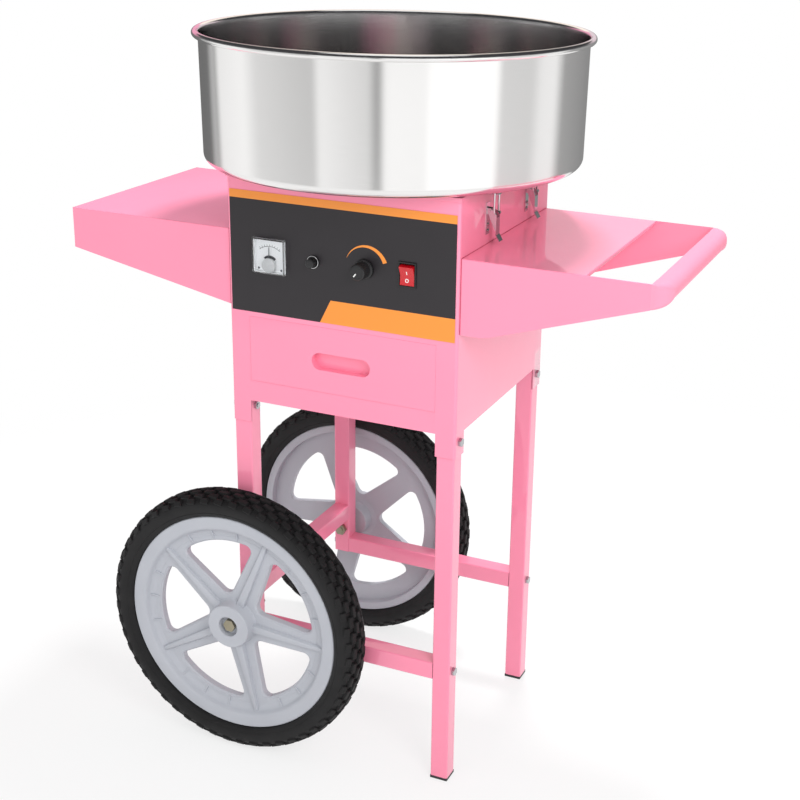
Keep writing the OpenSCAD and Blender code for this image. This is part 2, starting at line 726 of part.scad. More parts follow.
module latch_bail() {
    both_y() difference() {
        union() {
            rod_y(bail_x, bail_z, bail_hw - wire_r + 0.1, bail_hw + wire_r - 0.1, wire_r + 1.3);
            translate([bail_x, bail_hw, bail_z + 2]) cylinder(h = bar_z - bail_z - 2, r = wire_r);
        }
        rod_y(bail_x, bail_z, bail_hw - wire_r - 1, bail_hw + wire_r + 1, wire_r - 0.3 + turn_gap);
    }
    rod_y(bail_x, bar_z, -bail_hw, bail_hw, wire_r);
    both_y() translate([bail_x, bail_hw, bar_z]) sphere(r = wire_r);
}

module latch_lever_fr() color([0.8, 0.8, 0.82]) place() translate([0, -latch_y, 0]) latch_lever();

module latch_lever_rr() color([0.8, 0.8, 0.82]) place() translate([0, latch_y, 0]) latch_lever();

module latch_lever_fl() color([0.8, 0.8, 0.82]) place() translate([0, -latch_y, 0]) mirror([1, 0, 0]) latch_lever();

module latch_lever_rl() color([0.8, 0.8, 0.82]) place() translate([0, latch_y, 0]) mirror([1, 0, 0]) latch_lever();

module latch_bail_fr() color([0.8, 0.8, 0.82]) place() translate([0, -latch_y, 0]) latch_bail();

module latch_bail_rr() color([0.8, 0.8, 0.82]) place() translate([0, latch_y, 0]) latch_bail();

module latch_bail_fl() color([0.8, 0.8, 0.82]) place() translate([0, -latch_y, 0]) mirror([1, 0, 0]) latch_bail();

module latch_bail_rl() color([0.8, 0.8, 0.82]) place() translate([0, latch_y, 0]) mirror([1, 0, 0]) latch_bail();

// Drive

module motor_bracket() color([0.7, 0.71, 0.73]) place() difference() {
    union() {
        box([-flange_s / 2, -flange_s / 2, bracket_z], [flange_s / 2, flange_s / 2, deck_under]);
        both_x() both_y() translate([post_at, post_at, motor_top]) cylinder(h = stand_h + 1, r = post_r);
    }
    translate([0, 0, bracket_z - 1]) cylinder(h = bracket_t + 2, r = deck_hole_r);
}

module motor() color([0.25, 0.26, 0.28]) place() difference() {
    union() {
        translate([0, 0, motor_top - motor_h]) cylinder(h = motor_h, r = motor_r);
        box([-flange_s / 2, -flange_s / 2, motor_top - flange_t], [flange_s / 2, flange_s / 2, motor_top]);
    }
    translate([0, 0, shaft_z0 - 2]) cylinder(h = motor_top - shaft_z0 + 3, r = shaft_r + turn_gap);
}

module drive_shaft() color([0.7, 0.71, 0.73]) place()
    translate([0, 0, shaft_z0]) cylinder(h = head_z + boss_h / 2 + 2 - shaft_z0, r = shaft_r);

module slip_rings() color([0.8, 0.6, 0.25]) place() difference() {
    translate([0, 0, motor_top + 5]) cylinder(h = ring_h, r = ring_r);
    translate([0, 0, motor_top + 4]) cylinder(h = ring_h + 2, r = shaft_r + fit);
}

module brush_block() color([0.3, 0.2, 0.12]) place() {
    box([ring_r + brush_len / 3, -8, motor_top + 5], [ring_r + brush_len, 8, bracket_z]);
    box([ring_r + 0.3, -3, motor_top + 7], [ring_r + brush_len / 3 + 1, 3, motor_top + 3 + ring_h]);
}

module spinner_pan() color([0.8, 0.81, 0.83]) place() difference() {
    union() {
        translate([0, 0, head_z]) cylinder(h = head_t, r = head_r);
        translate([0, 0, head_z - boss_h / 2]) cylinder(h = boss_h, r = 2 * shaft_r);
    }
    translate([0, 0, head_z - boss_h / 2 - 1]) cylinder(h = boss_h + 2, r = shaft_r + fit);
}

module heater_ring() color([0.55, 0.5, 0.45]) place() difference() {
    translate([0, 0, head_z + head_t]) cylinder(h = band_h, r = head_r);
    translate([0, 0, head_z + head_t - 1]) cylinder(h = band_h + 2, r = head_r - head_t);
}

module spinner_lid() color([0.8, 0.81, 0.83]) place() rotate_extrude()
    polygon([[fill_r, lid_z + 6], [head_r - 8, lid_z], [head_r, lid_z], [head_r, lid_z + head_t],
        [head_r - 8, lid_z + head_t], [fill_r, lid_z + head_t + 6]]);

module transformer() color([0.3, 0.25, 0.2]) place() translate([-60, 90, mid_z + sheet_t]) {
    box([-trafo_w / 2, -trafo_d / 2, 0], [trafo_w / 2, trafo_d / 2, 4]);
    box([-trafo_w / 2 + 12, -trafo_d / 2, 3], [trafo_w / 2 - 12, trafo_d / 2, trafo_h]);
    box([-trafo_w / 4, -trafo_d / 2 - 10, 10], [trafo_w / 4, trafo_d / 2 + 2, trafo_h - 8]);
}

module cable_gland() color([0.08, 0.08, 0.08]) place() difference() {
    union() {
        rod_y(gland_x, gland_z, hd - sheet_t - 8, hd + 12, gland_r);
        hex_y(gland_x, gland_z, hd, hd + 6, gland_flange_r + 1);
        hex_y(gland_x, gland_z, hd - sheet_t - 5, hd - sheet_t, gland_flange_r + 1);
    }
    rod_y(gland_x, gland_z, hd - sheet_t - 9, hd + 13, gland_bore_r);
}

// Legs and rails

// A square tube along Z
module tube_z(x0, y0, z0, z1) difference() {
    box([x0, y0, z0], [x0 + leg_s, y0 + leg_s, z1]);
    box([x0 + leg_t, y0 + leg_t, z0 - 1], [x0 + leg_s - leg_t, y0 + leg_s - leg_t, z1 + 1]);
}

module right_legs() color([1, 0.5, 0.65]) place() both_y() difference() {
    tube_z(leg_x0, leg_y0, foot_t, plate_z);
    rod_x(leg_x0 - 1, leg_x1 + 1, leg_y0 + leg_s / 2, tab_bolt_z, bolt_r + bolt_gap);
    rod_x(leg_x0 - 1, leg_x1 + 1, leg_y0 + leg_s / 2, rail_z, bolt_r + bolt_gap);
}

module left_legs() color([1, 0.5, 0.65]) place() both_y() mirror([1, 0, 0]) difference() {
    tube_z(leg_x0, leg_y0, rail_z - leg_s / 2, plate_z);
    rod_x(leg_x0 - 1, leg_x1 + 1, leg_y0 + leg_s / 2, tab_bolt_z, bolt_r + bolt_gap);
    rod_x(leg_x0 - 1, leg_x1 + 1, leg_y0 + leg_s / 2, rail_z, bolt_r + bolt_gap);
    rod_y(-axle_x, axle_z, leg_y0 - 1, leg_y1 + 1, axle_r + bolt_gap);
}

// A long rail with a threaded plug in each end
module rail() {
    difference() {
        box([-leg_x0, leg_y0, rail_z - leg_s / 2], [leg_x0, leg_y1, rail_z + leg_s / 2]);
        box([-leg_x0 + 12, leg_y0 + leg_t, rail_z - leg_s / 2 + leg_t],
            [leg_x0 - 12, leg_y1 - leg_t, rail_z + leg_s / 2 - leg_t]);
        both_x() rod_x(leg_x0 - 13, leg_x0 + 1, leg_y0 + leg_s / 2, rail_z, bolt_r + bolt_gap);
    }
}

module front_rail() color([1, 0.5, 0.65]) place() mirror([0, 1, 0]) rail();

module rear_rail() color([1, 0.5, 0.65]) place() rail();

module left_crossbar() color([1, 0.5, 0.65]) place() difference() {
    box([-leg_x1, -leg_y0, cross_z - leg_s / 2], [-leg_x0, leg_y0, cross_z + leg_s / 2]);
    box([-leg_x1 + leg_t, -leg_y0 - 1, cross_z - leg_s / 2 + leg_t],
        [-leg_x0 - leg_t, leg_y0 + 1, cross_z + leg_s / 2 - leg_t]);
}

module foot_caps() color([0.05, 0.05, 0.05]) place() both_y() {
    g = leg_t + 0.1;
    box([leg_x0, leg_y0, 0], [leg_x1, leg_y1, foot_t]);
    box([leg_x0 + g, leg_y0 + g, foot_t - 1], [leg_x1 - g, leg_y1 - g, foot_t + foot_in]);
}

// Bolts through the tabs and legs, and through the legs into the rails
module frame_bolts() color([0.75, 0.76, 0.78]) place() both_x() both_y() {
    y = leg_y0 + leg_s / 2;
    rod_x(leg_x0 - 5, hw + 1, y, tab_bolt_z, bolt_r);
    hex_x(hw, hw + hex_t, y, tab_bolt_z, hex_r);
    hex_x(leg_x0 - hex_t, leg_x0, y, tab_bolt_z, hex_r);
    rod_x(leg_x0 - 11, leg_x1 + 1, y, rail_z, bolt_r);
    hex_x(leg_x1, leg_x1 + hex_t, y, rail_z, hex_r);
}

// Wheels

// One bolt with its spacer and nut, on the rear side
module axle_bolt() {
    rod_y(axle_x, axle_z, leg_y0 - nut_t, head_at + 1, axle_r);
    hex_y(axle_x, axle_z, head_at, head_at + axle_hex_t, axle_hex_r);
    hex_y(axle_x, axle_z, leg_y0 - nut_t + 1, leg_y0, axle_hex_r);
    rod_y(axle_x, axle_z, leg_y1, hub_back - end_play, axle_hex_r);
}

module axle_bolts() color([0.75, 0.76, 0.78]) place() both_y() axle_bolt();

// A wheel lies with its axis along Z and its outside up, then turns to the rear side
module to_rear() {
    translate([axle_x, wheel_y, axle_z]) rotate([-90, 0, 0]) children();
}

module wheel_rim(turn) {
    hr = rim_w / 2;
    hw_t = web_t / 2;
    br = seat_rim_r - barrel_t;
    spokes = 5;
    difference() {
        union() {
            rotate_extrude() polygon([[br, -hr], [flange_r, -hr], [flange_r, -hr + rim_flange_t],
                [seat_rim_r, -hr + rim_flange_t], [seat_rim_r, hr - rim_flange_t],
                [flange_r, hr - rim_flange_t], [flange_r, hr], [flange_in_r, hr],
                [flange_in_r, hr - rim_flange_t], [br, hr_under(hr)], [br, hw_t + 1], [ledge_r, hw_t],
                [ledge_r, -hw_t], [br, -hw_t]]);
            for (k = [0 : spokes - 1]) rotate([0, 0, turn + k * 360 / spokes]) {
                translate([hub_r / 2, -spoke_w / 2, -hw_t + spoke_low])
                    cube([ledge_r - hub_r / 2 + 2, spoke_w, web_t - 2 * spoke_low]);
                translate([hub_r / 2, -ridge_w / 2, 0]) cube([br - hub_r / 2 + 1, ridge_w, hw_t + ridge_h]);
            }
            translate([0, 0, -hw_t]) cylinder(h = web_t, r = hub_web_r);
            translate([0, 0, -hub_in]) cylinder(h = hub_in + hub_out, r = hub_r);
        }
        translate([0, 0, hub_out - recess_d]) cylinder(h = recess_d + 1, r = recess_r);
        translate([0, 0, -hub_in - 1]) cylinder(h = hub_in + hub_out, r = axle_r + turn_gap);
    }
}

// Height where the back of the outer flange meets the barrel
function hr_under(hr) = hr - rim_flange_t - 2;

module tyre() {
    hr = rim_w / 2;
    tw = tyre_w / 2;
    s = seat_rim_r + fit;
    f = flange_r + 0.3;
    c = hr - rim_flange_t - 0.2;
    rotate_extrude() polygon([[s, -c], [f, -c], [f, -hr], [f + 4, -tw + 3], [f + 11, -tw], [tyre_r - 12, -tw],
        [tyre_r - 5, -tw + 3], [tyre_r - 1, -tw + 10], [tyre_r, -tw + 16], [tyre_r, tw - 16],
        [tyre_r - 1, tw - 10], [tyre_r - 5, tw - 3], [tyre_r - 12, tw], [f + 11, tw], [f + 4, tw - 3],
        [f, hr], [f, c], [s, c]]);
}

module rear_wheel_rim() color([0.72, 0.73, 0.76]) place() to_rear() wheel_rim(spoke_turn_rear);

module front_wheel_rim() color([0.72, 0.73, 0.76]) place() mirror([0, 1, 0]) to_rear() wheel_rim(spoke_turn_front);

module rear_tyre() color([0.08, 0.08, 0.08]) place() to_rear() tyre();

module front_tyre() color([0.08, 0.08, 0.08]) place() mirror([0, 1, 0]) to_rear() tyre();

// Shelves and handle

module left_shelf() color([1, 0.5, 0.65]) place() mirror([1, 0, 0]) difference() {
    x1 = hw + left_l;
    union() {
        box([hw, -shelf_hd, shelf_z - sheet_t], [x1, shelf_hd, shelf_z]);
        both_y() plate_xz([[hw, shelf_z], [x1, shelf_z], [x1, shelf_z - left_tip], [hw, shelf_z - left_skirt]],
            shelf_hd - sheet_t, shelf_hd);
        box([x1 - sheet_t, -shelf_hd, shelf_z - left_tip], [x1, shelf_hd, shelf_z]);
        box([hw, -shelf_hd, shelf_z - left_skirt], [hw + sheet_t, shelf_hd, shelf_z]);
    }
    shelf_holes(hw - 1, hw + sheet_t + 1);
}

module right_shelf() color([1, 0.5, 0.65]) place() difference() {
    x1 = hw + right_l;
    xl = hw + right_level;
    zb = shelf_z - right_skirt;
    ze = handle_z - skirt_end_r;
    union() {
        box([hw, -shelf_hd, shelf_z - sheet_t], [x1, shelf_hd, shelf_z]);
        both_y() plate_xz([[hw, shelf_z], [handle_x, shelf_z], [handle_x, ze], [xl + 14, zb + 2],
            [xl + 7, zb + 0.5], [xl, zb], [hw, zb]], shelf_hd - sheet_t, shelf_hd);
        both_y() rod_y(handle_x, handle_z, shelf_hd - sheet_t, shelf_hd, skirt_end_r);
        box([x1 - sheet_t, -shelf_hd, shelf_z - plate_lip], [x1, shelf_hd, shelf_z]);
        box([hw, -shelf_hd, zb], [hw + sheet_t, shelf_hd, shelf_z]);
    }
    shelf_holes(hw - 1, hw + sheet_t + 1);
}

module push_handle() color([1, 0.5, 0.65]) place()
    rod_y(handle_x, handle_z, -shelf_hd + sheet_t, shelf_hd - sheet_t, handle_r);

module shelf_screws() color([0.75, 0.76, 0.78]) place() both_x() for (k = [-1, 0, 1]) {
    y = k * screw_pitch();
    rod_x(hw - sheet_t - 6, hw + sheet_t + 1, y, screw_z(), screw_r);
    rod_x(hw + sheet_t, hw + sheet_t + 3, y, screw_z(), screw_head_r);
    hex_x(hw - sheet_t - 4, hw - sheet_t, y, screw_z(), screw_head_r);
}

front_panel();
left_side_panel();
right_side_panel();
back_panel();
top_deck();
mid_shelf();
bottom_plate();
drawer_runners();
drawer_front();
drawer_tray();
control_fascia();
meter_case();
meter_dial();
meter_needle();
meter_lens();
fuse_holder();
fuse_cap();
heat_control();
heat_knob();
switch_housing();
switch_rocker();
bowl();
bowl_seat();
bowl_keepers();
latch_bases();
latch_lever_fr();
latch_lever_rr();
latch_lever_fl();
latch_lever_rl();
latch_bail_fr();
latch_bail_rr();
latch_bail_fl();
latch_bail_rl();
motor_bracket();
motor();
drive_shaft();
slip_rings();
brush_block();
spinner_pan();
heater_ring();
spinner_lid();
transformer();
cable_gland();
left_legs();
right_legs();
front_rail();
rear_rail();
left_crossbar();
foot_caps();
frame_bolts();
axle_bolts();
front_wheel_rim();
rear_wheel_rim();
front_tyre();
rear_tyre();
left_shelf();
right_shelf();
push_handle();
shelf_screws();
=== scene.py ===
import math
import bmesh
import bpy
from mathutils import Matrix, Vector


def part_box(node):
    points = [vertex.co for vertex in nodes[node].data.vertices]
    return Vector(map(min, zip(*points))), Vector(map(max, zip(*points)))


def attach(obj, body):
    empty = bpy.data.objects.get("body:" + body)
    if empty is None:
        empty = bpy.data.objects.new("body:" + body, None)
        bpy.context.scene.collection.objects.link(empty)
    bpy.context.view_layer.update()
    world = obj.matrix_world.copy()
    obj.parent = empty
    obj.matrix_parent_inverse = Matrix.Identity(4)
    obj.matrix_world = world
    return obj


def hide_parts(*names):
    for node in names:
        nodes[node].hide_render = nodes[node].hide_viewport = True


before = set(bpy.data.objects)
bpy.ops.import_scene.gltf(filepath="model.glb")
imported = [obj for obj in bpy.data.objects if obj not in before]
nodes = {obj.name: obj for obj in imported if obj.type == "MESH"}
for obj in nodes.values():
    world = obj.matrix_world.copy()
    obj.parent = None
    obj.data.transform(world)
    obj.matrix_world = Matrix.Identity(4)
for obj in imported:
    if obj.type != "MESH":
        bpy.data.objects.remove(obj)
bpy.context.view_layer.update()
scene = bpy.context.scene
scene.view_settings.view_transform = "Standard"

# Camera: it stands in front of the cart and to its right, a little higher than
# the bowl's rim, on a long lens whose picture is shifted to the left and down.
right = Vector((0.92025, 0.39067, 0.02270))
upward = Vector((-0.14636, 0.28979, 0.94584))
stands_at = (0.78763, -1.68892, 1.19747)
turn = Matrix((right, upward, right.cross(upward))).transposed().to_4x4()
camera = bpy.data.objects.new("camera", bpy.data.cameras.new("camera"))
scene.collection.objects.link(camera)
camera.matrix_world = Matrix.Translation(stands_at) @ turn
camera.data.sensor_width = 36
camera.data.lens = 63.92
camera.data.shift_x = -0.0711
camera.data.shift_y = -0.0625
scene.camera = camera


# Body: front and sides are one folded steel sheet with small bend radii, cut
# out for the drawer and the switch, with four tabs that are bolted to the legs.
class Wire:
    """A socket in a node tree. Arithmetic on it adds Math nodes."""

    def __init__(self, tree, socket):
        self.tree, self.socket = tree, socket

    def node(self, kind, settings=None, inputs=None, output=0):
        """Adds a node of that kind, with its settings made and its sockets fed."""
        made = self.tree.nodes.new(kind)
        for name, value in (settings or {}).items():
            if name == "stops":
                while len(made.color_ramp.elements) < len(value):
                    made.color_ramp.elements.new(1)
                for element, (at, shade) in zip(made.color_ramp.elements, value):
                    element.position, element.color = at, shade
            else:
                setattr(made, name, value)
        for name, value in (inputs or {}).items():
            if isinstance(value, Wire):
                self.tree.links.new(value.socket, made.inputs[name])
            else:
                made.inputs[name].default_value = value
        return Wire(self.tree, made.outputs[output])

    def math(self, operation, a, b=0.0, clamp=False):
        settings = {"operation": operation, "use_clamp": clamp}
        return self.node("ShaderNodeMath", settings, {0: a, 1: b})

    def __add__(self, other):
        return self.math("ADD", self, other)

    def __radd__(self, other):
        return self.math("ADD", other, self)

    def __sub__(self, other):
        return self.math("SUBTRACT", self, other)

    def __rsub__(self, other):
        return self.math("SUBTRACT", other, self)

    def __mul__(self, other):
        return self.math("MULTIPLY", self, other)

    def __rmul__(self, other):
        return self.math("MULTIPLY", other, self)

    def __truediv__(self, other):
        return self.math("DIVIDE", self, other)

    def __abs__(self):
        return self.math("ABSOLUTE", self)

    def over(self, edge, soft=0.0003):
        """1 where this value is above the edge, 0 below it, with a soft step."""
        return self.math("ADD", (self - edge) / soft, 0.5, clamp=True)

    def axis(self, name):
        return self.node("ShaderNodeSeparateXYZ", {}, {0: self}, name)

    def noise(self, scale, detail=2.0):
        inputs = {"Vector": self, "Scale": scale, "Detail": detail}
        return self.node("ShaderNodeTexNoise", {}, inputs)

    def between(self, low, high):
        """A colour that goes from low at 0 to high at 1."""
        inputs = {0: self, 6: low, 7: high}
        return self.node("ShaderNodeMix", {"data_type": "RGBA"}, inputs, 2)

    def bump(self, strength, depth):
        """A normal that takes this value as a height."""
        inputs = {"Strength": strength, "Distance": depth, "Height": self}
        return self.node("ShaderNodeBump", {}, inputs)


def colour(red, green, blue):
    """A colour as a screen shows it, 0 to 255, made linear."""
    shares = [c / 255 for c in (red, green, blue)]
    return tuple(s / 12.92 if s < 0.04045 else ((s + 0.055) / 1.055) ** 2.4 for s in shares) + (1.0,)


def coat_of(name, **constants):
    """A material, its Object coordinates and a function that feeds its shader."""
    material = bpy.data.materials.new(name)
    material.use_nodes = True
    tree = material.node_tree
    shader = tree.nodes["Principled BSDF"]
    for socket, value in constants.items():
        shader.inputs[socket.replace("_", " ")].default_value = value
    place = Wire(tree, tree.nodes.new("ShaderNodeTexCoord").outputs["Object"])

    def feed(**wires):
        for socket, wire in wires.items():
            tree.links.new(wire.socket, shader.inputs[socket.replace("_", " ")])
    return material, place, feed


def finish(name, dark, light, clouds, rough, vary, specks, grain=None, **constants):
    """A material clouded between two close colours, with a varied roughness.

    clouds and specks are a noise's scale and detail; grain is a bump's strength
    and depth with its noise's scale and detail.
    """
    material, place, feed = coat_of(name, **constants)
    feed(Base_Color=place.noise(*clouds).between(colour(*dark), colour(*light)),
         Roughness=rough + vary * place.noise(*specks))
    if grain:
        strength, depth, *fine = grain
        feed(Normal=place.noise(*fine).bump(strength, depth))
    return material


def block(work, low, high):
    """A box from corner to corner; returns its vertices."""
    low, high = Vector(low), Vector(high)
    size = Matrix.Diagonal((high - low).to_4d())
    size[3][3] = 1
    centre = Matrix.Translation((low + high) / 2)
    return bmesh.ops.create_cube(work, size=1, matrix=centre @ size)["verts"]


def piece(name, work, material, body, slot, *stands_for):
    """Makes a shown piece from a bmesh and ties it to its CAD body."""
    mesh = bpy.data.meshes.new(name)
    work.to_mesh(mesh)
    work.free()
    mesh.materials.append(material)
    mesh.shade_smooth()
    mesh.set_sharp_from_angle(angle=sharp)
    thing = bpy.data.objects.new(name, mesh)
    scene.collection.objects.link(thing)
    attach(thing, body)
    if stands_for:
        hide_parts(*stands_for)
    return thing


def even(thing):
    """Keeps a piece's flats flat beside its narrow bends."""
    thing.modifiers.new("flats", "WEIGHTED_NORMAL").keep_sharp = True


def sheet(thing, thickness):
    """Gives an open shell its wall, inwards from its outer face."""
    wall = thing.modifiers.new("wall", "SOLIDIFY")
    wall.thickness, wall.offset = thickness, -1
    even(thing)


def everything(work):
    return work.verts[:] + work.edges[:] + work.faces[:]


def points(geom):
    """The vertices in an operator's result."""
    return [g for g in geom if isinstance(g, bmesh.types.BMVert)]


def edges_of(verts):
    return {e for v in verts for e in v.link_edges}


def long_edges(verts, axis):
    """The edges between these vertices that run along an axis."""
    return [e for e in edges_of(verts)
            if abs((e.verts[0].co - e.verts[1].co).normalized()[axis]) > 0.99]


def rounded(work, edges, radius, segments=3):
    bmesh.ops.bevel(work, geom=edges, offset=radius, affect="EDGES", segments=segments,
                    profile=0.5, material=-1)


def faced(work):
    """Turns all faces outwards."""
    bmesh.ops.recalc_face_normals(work, faces=work.faces)


same = 1e-6
sharp = math.radians(35)
steel = 0.0015
bend_radius = 0.004
tab_drop, tab_width = 0.031, 0.028
drawer_gap = 0.0002
bezel_lap_x, bezel_lap_z = 0.0013, 0.0018
panel_low, panel_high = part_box("front_panel")
side_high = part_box("right_side_panel")[1]
switch_low, switch_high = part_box("switch_housing")
drawer_low, drawer_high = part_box("drawer_front")
apron = panel_low.z + tab_drop
pink = finish("pink_powder_coat", (252, 141, 171), (254, 148, 177), (5.0, 3.0), 0.3, 0.1, (30.0,),
              (0.04, 0.0004, 700.0, 1.0),
              Coat_Weight=1.0, Coat_Roughness=0.03, Specular_IOR_Level=0.2)

work = bmesh.new()
verts = block(work, (panel_low.x, panel_low.y, apron), (panel_high.x, side_high.y, panel_high.z))
front_corners = [e for e in long_edges(verts, 2) if e.verts[0].co.y < 0]
open_sides = [f for f in work.faces if abs(f.normal.z) > 0.9 or f.normal.y > 0.9]
bmesh.ops.delete(work, geom=open_sides, context="FACES_ONLY")
rounded(work, front_corners, bend_radius, 5)
holes = [(drawer_low.x - drawer_gap, drawer_high.x + drawer_gap,
          drawer_low.z - drawer_gap, drawer_high.z + drawer_gap),
         (switch_low.x + bezel_lap_x, switch_high.x - bezel_lap_x,
          switch_low.z + bezel_lap_z, switch_high.z - bezel_lap_z)]
tab_x = (panel_low.x + tab_width, panel_high.x - tab_width)
tab_y = (panel_low.y + tab_width, side_high.y - tab_width + steel)
cuts = [((x, 0, 0), (1, 0, 0)) for x in tab_x] + [((0, y, 0), (0, 1, 0)) for y in tab_y]
for x0, x1, z0, z1 in holes:
    cuts += [((x, 0, 0), (1, 0, 0)) for x in (x0, x1)]
    cuts += [((0, 0, z), (0, 0, 1)) for z in (z0, z1)]
for at, normal in cuts:
    bmesh.ops.bisect_plane(work, geom=everything(work), plane_co=at, plane_no=normal)
for x0, x1, z0, z1 in holes:
    gone = []
    for face in work.faces:
        at = face.calc_center_median()
        if face.normal.y < -0.99 and x0 < at.x < x1 and z0 < at.z < z1:
            gone.append(face)
    bmesh.ops.delete(work, geom=gone, context="FACES")
hem = []
for edge in work.edges:
    at = (edge.verts[0].co + edge.verts[1].co) / 2
    low_edge = all(abs(v.co.z - apron) < same for v in edge.verts)
    if low_edge and not tab_x[0] < at.x < tab_x[1] and not tab_y[0] < at.y < tab_y[1]:
        hem.append(edge)
tabs = bmesh.ops.extrude_edge_only(work, edges=hem)["geom"]
bmesh.ops.translate(work, vec=(0, 0, -tab_drop), verts=points(tabs))
faced(work)
sheet(piece("body_shell", work, pink, "cart", "pink_paint",
            "front_panel", "left_side_panel", "right_side_panel"), steel)

# Back: a flat steel sheet with cooling slots and a hole for the cable gland,
# screwed to the folded body and painted the same pink.
def from_cad(name):
    """A merged copy of a CAD node's mesh, with its flats in one face each."""
    work = bmesh.new()
    work.from_mesh(nodes[name].data)
    bmesh.ops.remove_doubles(work, verts=work.verts, dist=same)
    bmesh.ops.dissolve_limit(work, angle_limit=math.radians(0.5), verts=work.verts, edges=work.edges)
    return work


piece("back_sheet", from_cad("back_panel"), pink, "cart", "pink_paint", "back_panel")

# Deck: a shallow steel pan turned down all round, which closes the body and
# carries the bowl.
def ease(thing, width, segments=2):
    """Rounds a piece's sharp edges."""
    edge = thing.modifiers.new("edges", "BEVEL")
    edge.width, edge.segments, edge.limit_method = width, segments, "ANGLE"
    edge.angle_limit = sharp
    edge.harden_normals = True


ease(piece("deck_pan", from_cad("top_deck"), pink, "cart", "pink_paint", "top_deck"), 0.0009, 3)

# Inner sheets: plain galvanised shelf and floor with the drawer's runners, and
# the drawer's tray, folded from the same sheet.
def painted(name, material):
    """Gives a shown CAD node a better material."""
    for spot in nodes[name].material_slots:
        spot.material = material


zinc, place, feed = coat_of("galvanised_sheet", Metallic=1.0)
spangle = place.node("ShaderNodeTexVoronoi", {}, {"Vector": place, "Scale": 90.0}, "Color")
grain = spangle.node("ShaderNodeSeparateColor", {}, {0: spangle}, "Red")
feed(Base_Color=grain.between(colour(176, 179, 184), colour(205, 207, 210)),
     Roughness=0.34 + 0.16 * grain)
for name in ("mid_shelf", "bottom_plate", "drawer_runners", "drawer_tray"):
    painted(name, zinc)

# Drawer front: a pressed steel pan with a finger pull drawn into it, in the
# body's pink, set flush in its opening with a hair's gap all round.
front = piece("drawer_pan", from_cad("drawer_front"), pink, "drawer", "pink_paint", "drawer_front")
ease(front, 0.0003)
even(front)

# Legs: square steel tube with rounded corners, painted pink; the right pair
# reaches the floor and the left pair ends at the long rails.
tube_side, tube_wall, tube_corner = 0.025, 0.002, 0.0022


def tube(work, low, high, axis):
    """A square tube along an axis, open at both ends, without its wall."""
    verts = block(work, low, high)
    ends = [f for f in {f for v in verts for f in v.link_faces} if abs(f.normal[axis]) > 0.9]
    edges = long_edges(verts, axis)
    bmesh.ops.delete(work, geom=ends, context="FACES_ONLY")
    rounded(work, edges, tube_corner)


for name in ("left_legs", "right_legs"):
    low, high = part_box(name)
    work = bmesh.new()
    for y in (low.y, high.y - tube_side):
        tube(work, (low.x, y, low.z), (high.x, y + tube_side, high.z), 2)
    legs = piece(name.replace("legs", "leg_tubes"), work, pink, "cart", "pink_paint", name)
    sheet(legs, tube_wall)

# Rails: the same tube, two along the cart low down between the legs and one
# across between the left legs, each held by bolts through the legs.
for name, axis in (("front_rail", 0), ("rear_rail", 0), ("left_crossbar", 1)):
    low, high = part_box(name)
    work = bmesh.new()
    tube(work, low, high, axis)
    sheet(piece(name + "_tube", work, pink, "cart", "pink_paint", name), tube_wall)

# Feet and bolts: black moulded caps pushed into the right legs, zinc plated hex
# bolts through the tabs and rails, and yellower ones for the axles.
black = finish("black_moulding", (28, 28, 29), (40, 40, 42), (40.0,), 0.36, 0.16, (160.0,),
               (0.12, 0.0002, 1800.0), Specular_IOR_Level=0.45)
plated = finish("zinc_plate", (168, 168, 171), (192, 192, 194), (30.0,), 0.1, 0.1, (60.0,),
                Metallic=1.0)
gilt = finish("yellow_zinc_plate", (138, 132, 114), (176, 168, 146), (70.0,), 0.24, 0.14, (160.0,),
              Metallic=1.0)
piece("leg_caps", from_cad("foot_caps"), black, "cart", "black_plastic", "foot_caps")
painted("axle_bolts", gilt)
for name in ("frame_bolts", "shelf_screws", "bowl_keepers", "motor_bracket", "drive_shaft"):
    painted(name, plated)

# Latches: four drawn chrome toggles, each a lever and a wire bail on a narrow
# strap with two ears, screwed to the body's sides under the bowl's keepers.
def screw_head(work, at, angle, axis, base, top, high, segments):
    """A low cone whose axis, Z, is turned by an angle; returns its vertices."""
    where = Matrix.Translation(at) @ Matrix.Rotation(angle, 4, axis)
    return bmesh.ops.create_cone(work, cap_ends=True, segments=segments, radius1=base,
                                 radius2=top, depth=high, matrix=where)["verts"]


chrome = finish("chrome_plate", (196, 196, 198), (222, 222, 224), (40.0,), 0.06, 0.08, (70.0,),
                Metallic=1.0)
for corner in ("fr", "rr", "fl", "rl"):
    painted("latch_lever_" + corner, chrome)
    painted("latch_bail_" + corner, chrome)
low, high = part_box("latch_bases")
cad_half, strap_half, strap_thick = 0.009, 0.0055, 0.0012
latch_y = high.y - cad_half
work = from_cad("latch_bases")
for v in work.verts:
    off = abs(v.co.y) - latch_y
    if abs(abs(off) - cad_half) < 1e-5:
        v.co.y = math.copysign(latch_y + math.copysign(strap_half, off), v.co.y)
ease(piece("latch_straps", work, chrome, "cart", "steel", "latch_bases"), 0.0003)
screw_ups, screw_high = (0.0045, 0.0125), 0.0014
work = bmesh.new()
for side, face in ((1, side_high.x + strap_thick), (-1, panel_low.x - strap_thick)):
    for y in (-latch_y, latch_y):
        for up in screw_ups:
            head = screw_head(work, (face + side * screw_high / 2, y, low.z + up), side * math.pi / 2,
                              "Y", 0.0024, 0.0014, screw_high, 12)
            crown = [e for e in edges_of(head) if all(abs(v.co.x - face) > 0.001 for v in e.verts)]
            rounded(work, crown, 0.0004, 2)
piece("latch_screws", work, plated, "cart", "steel")

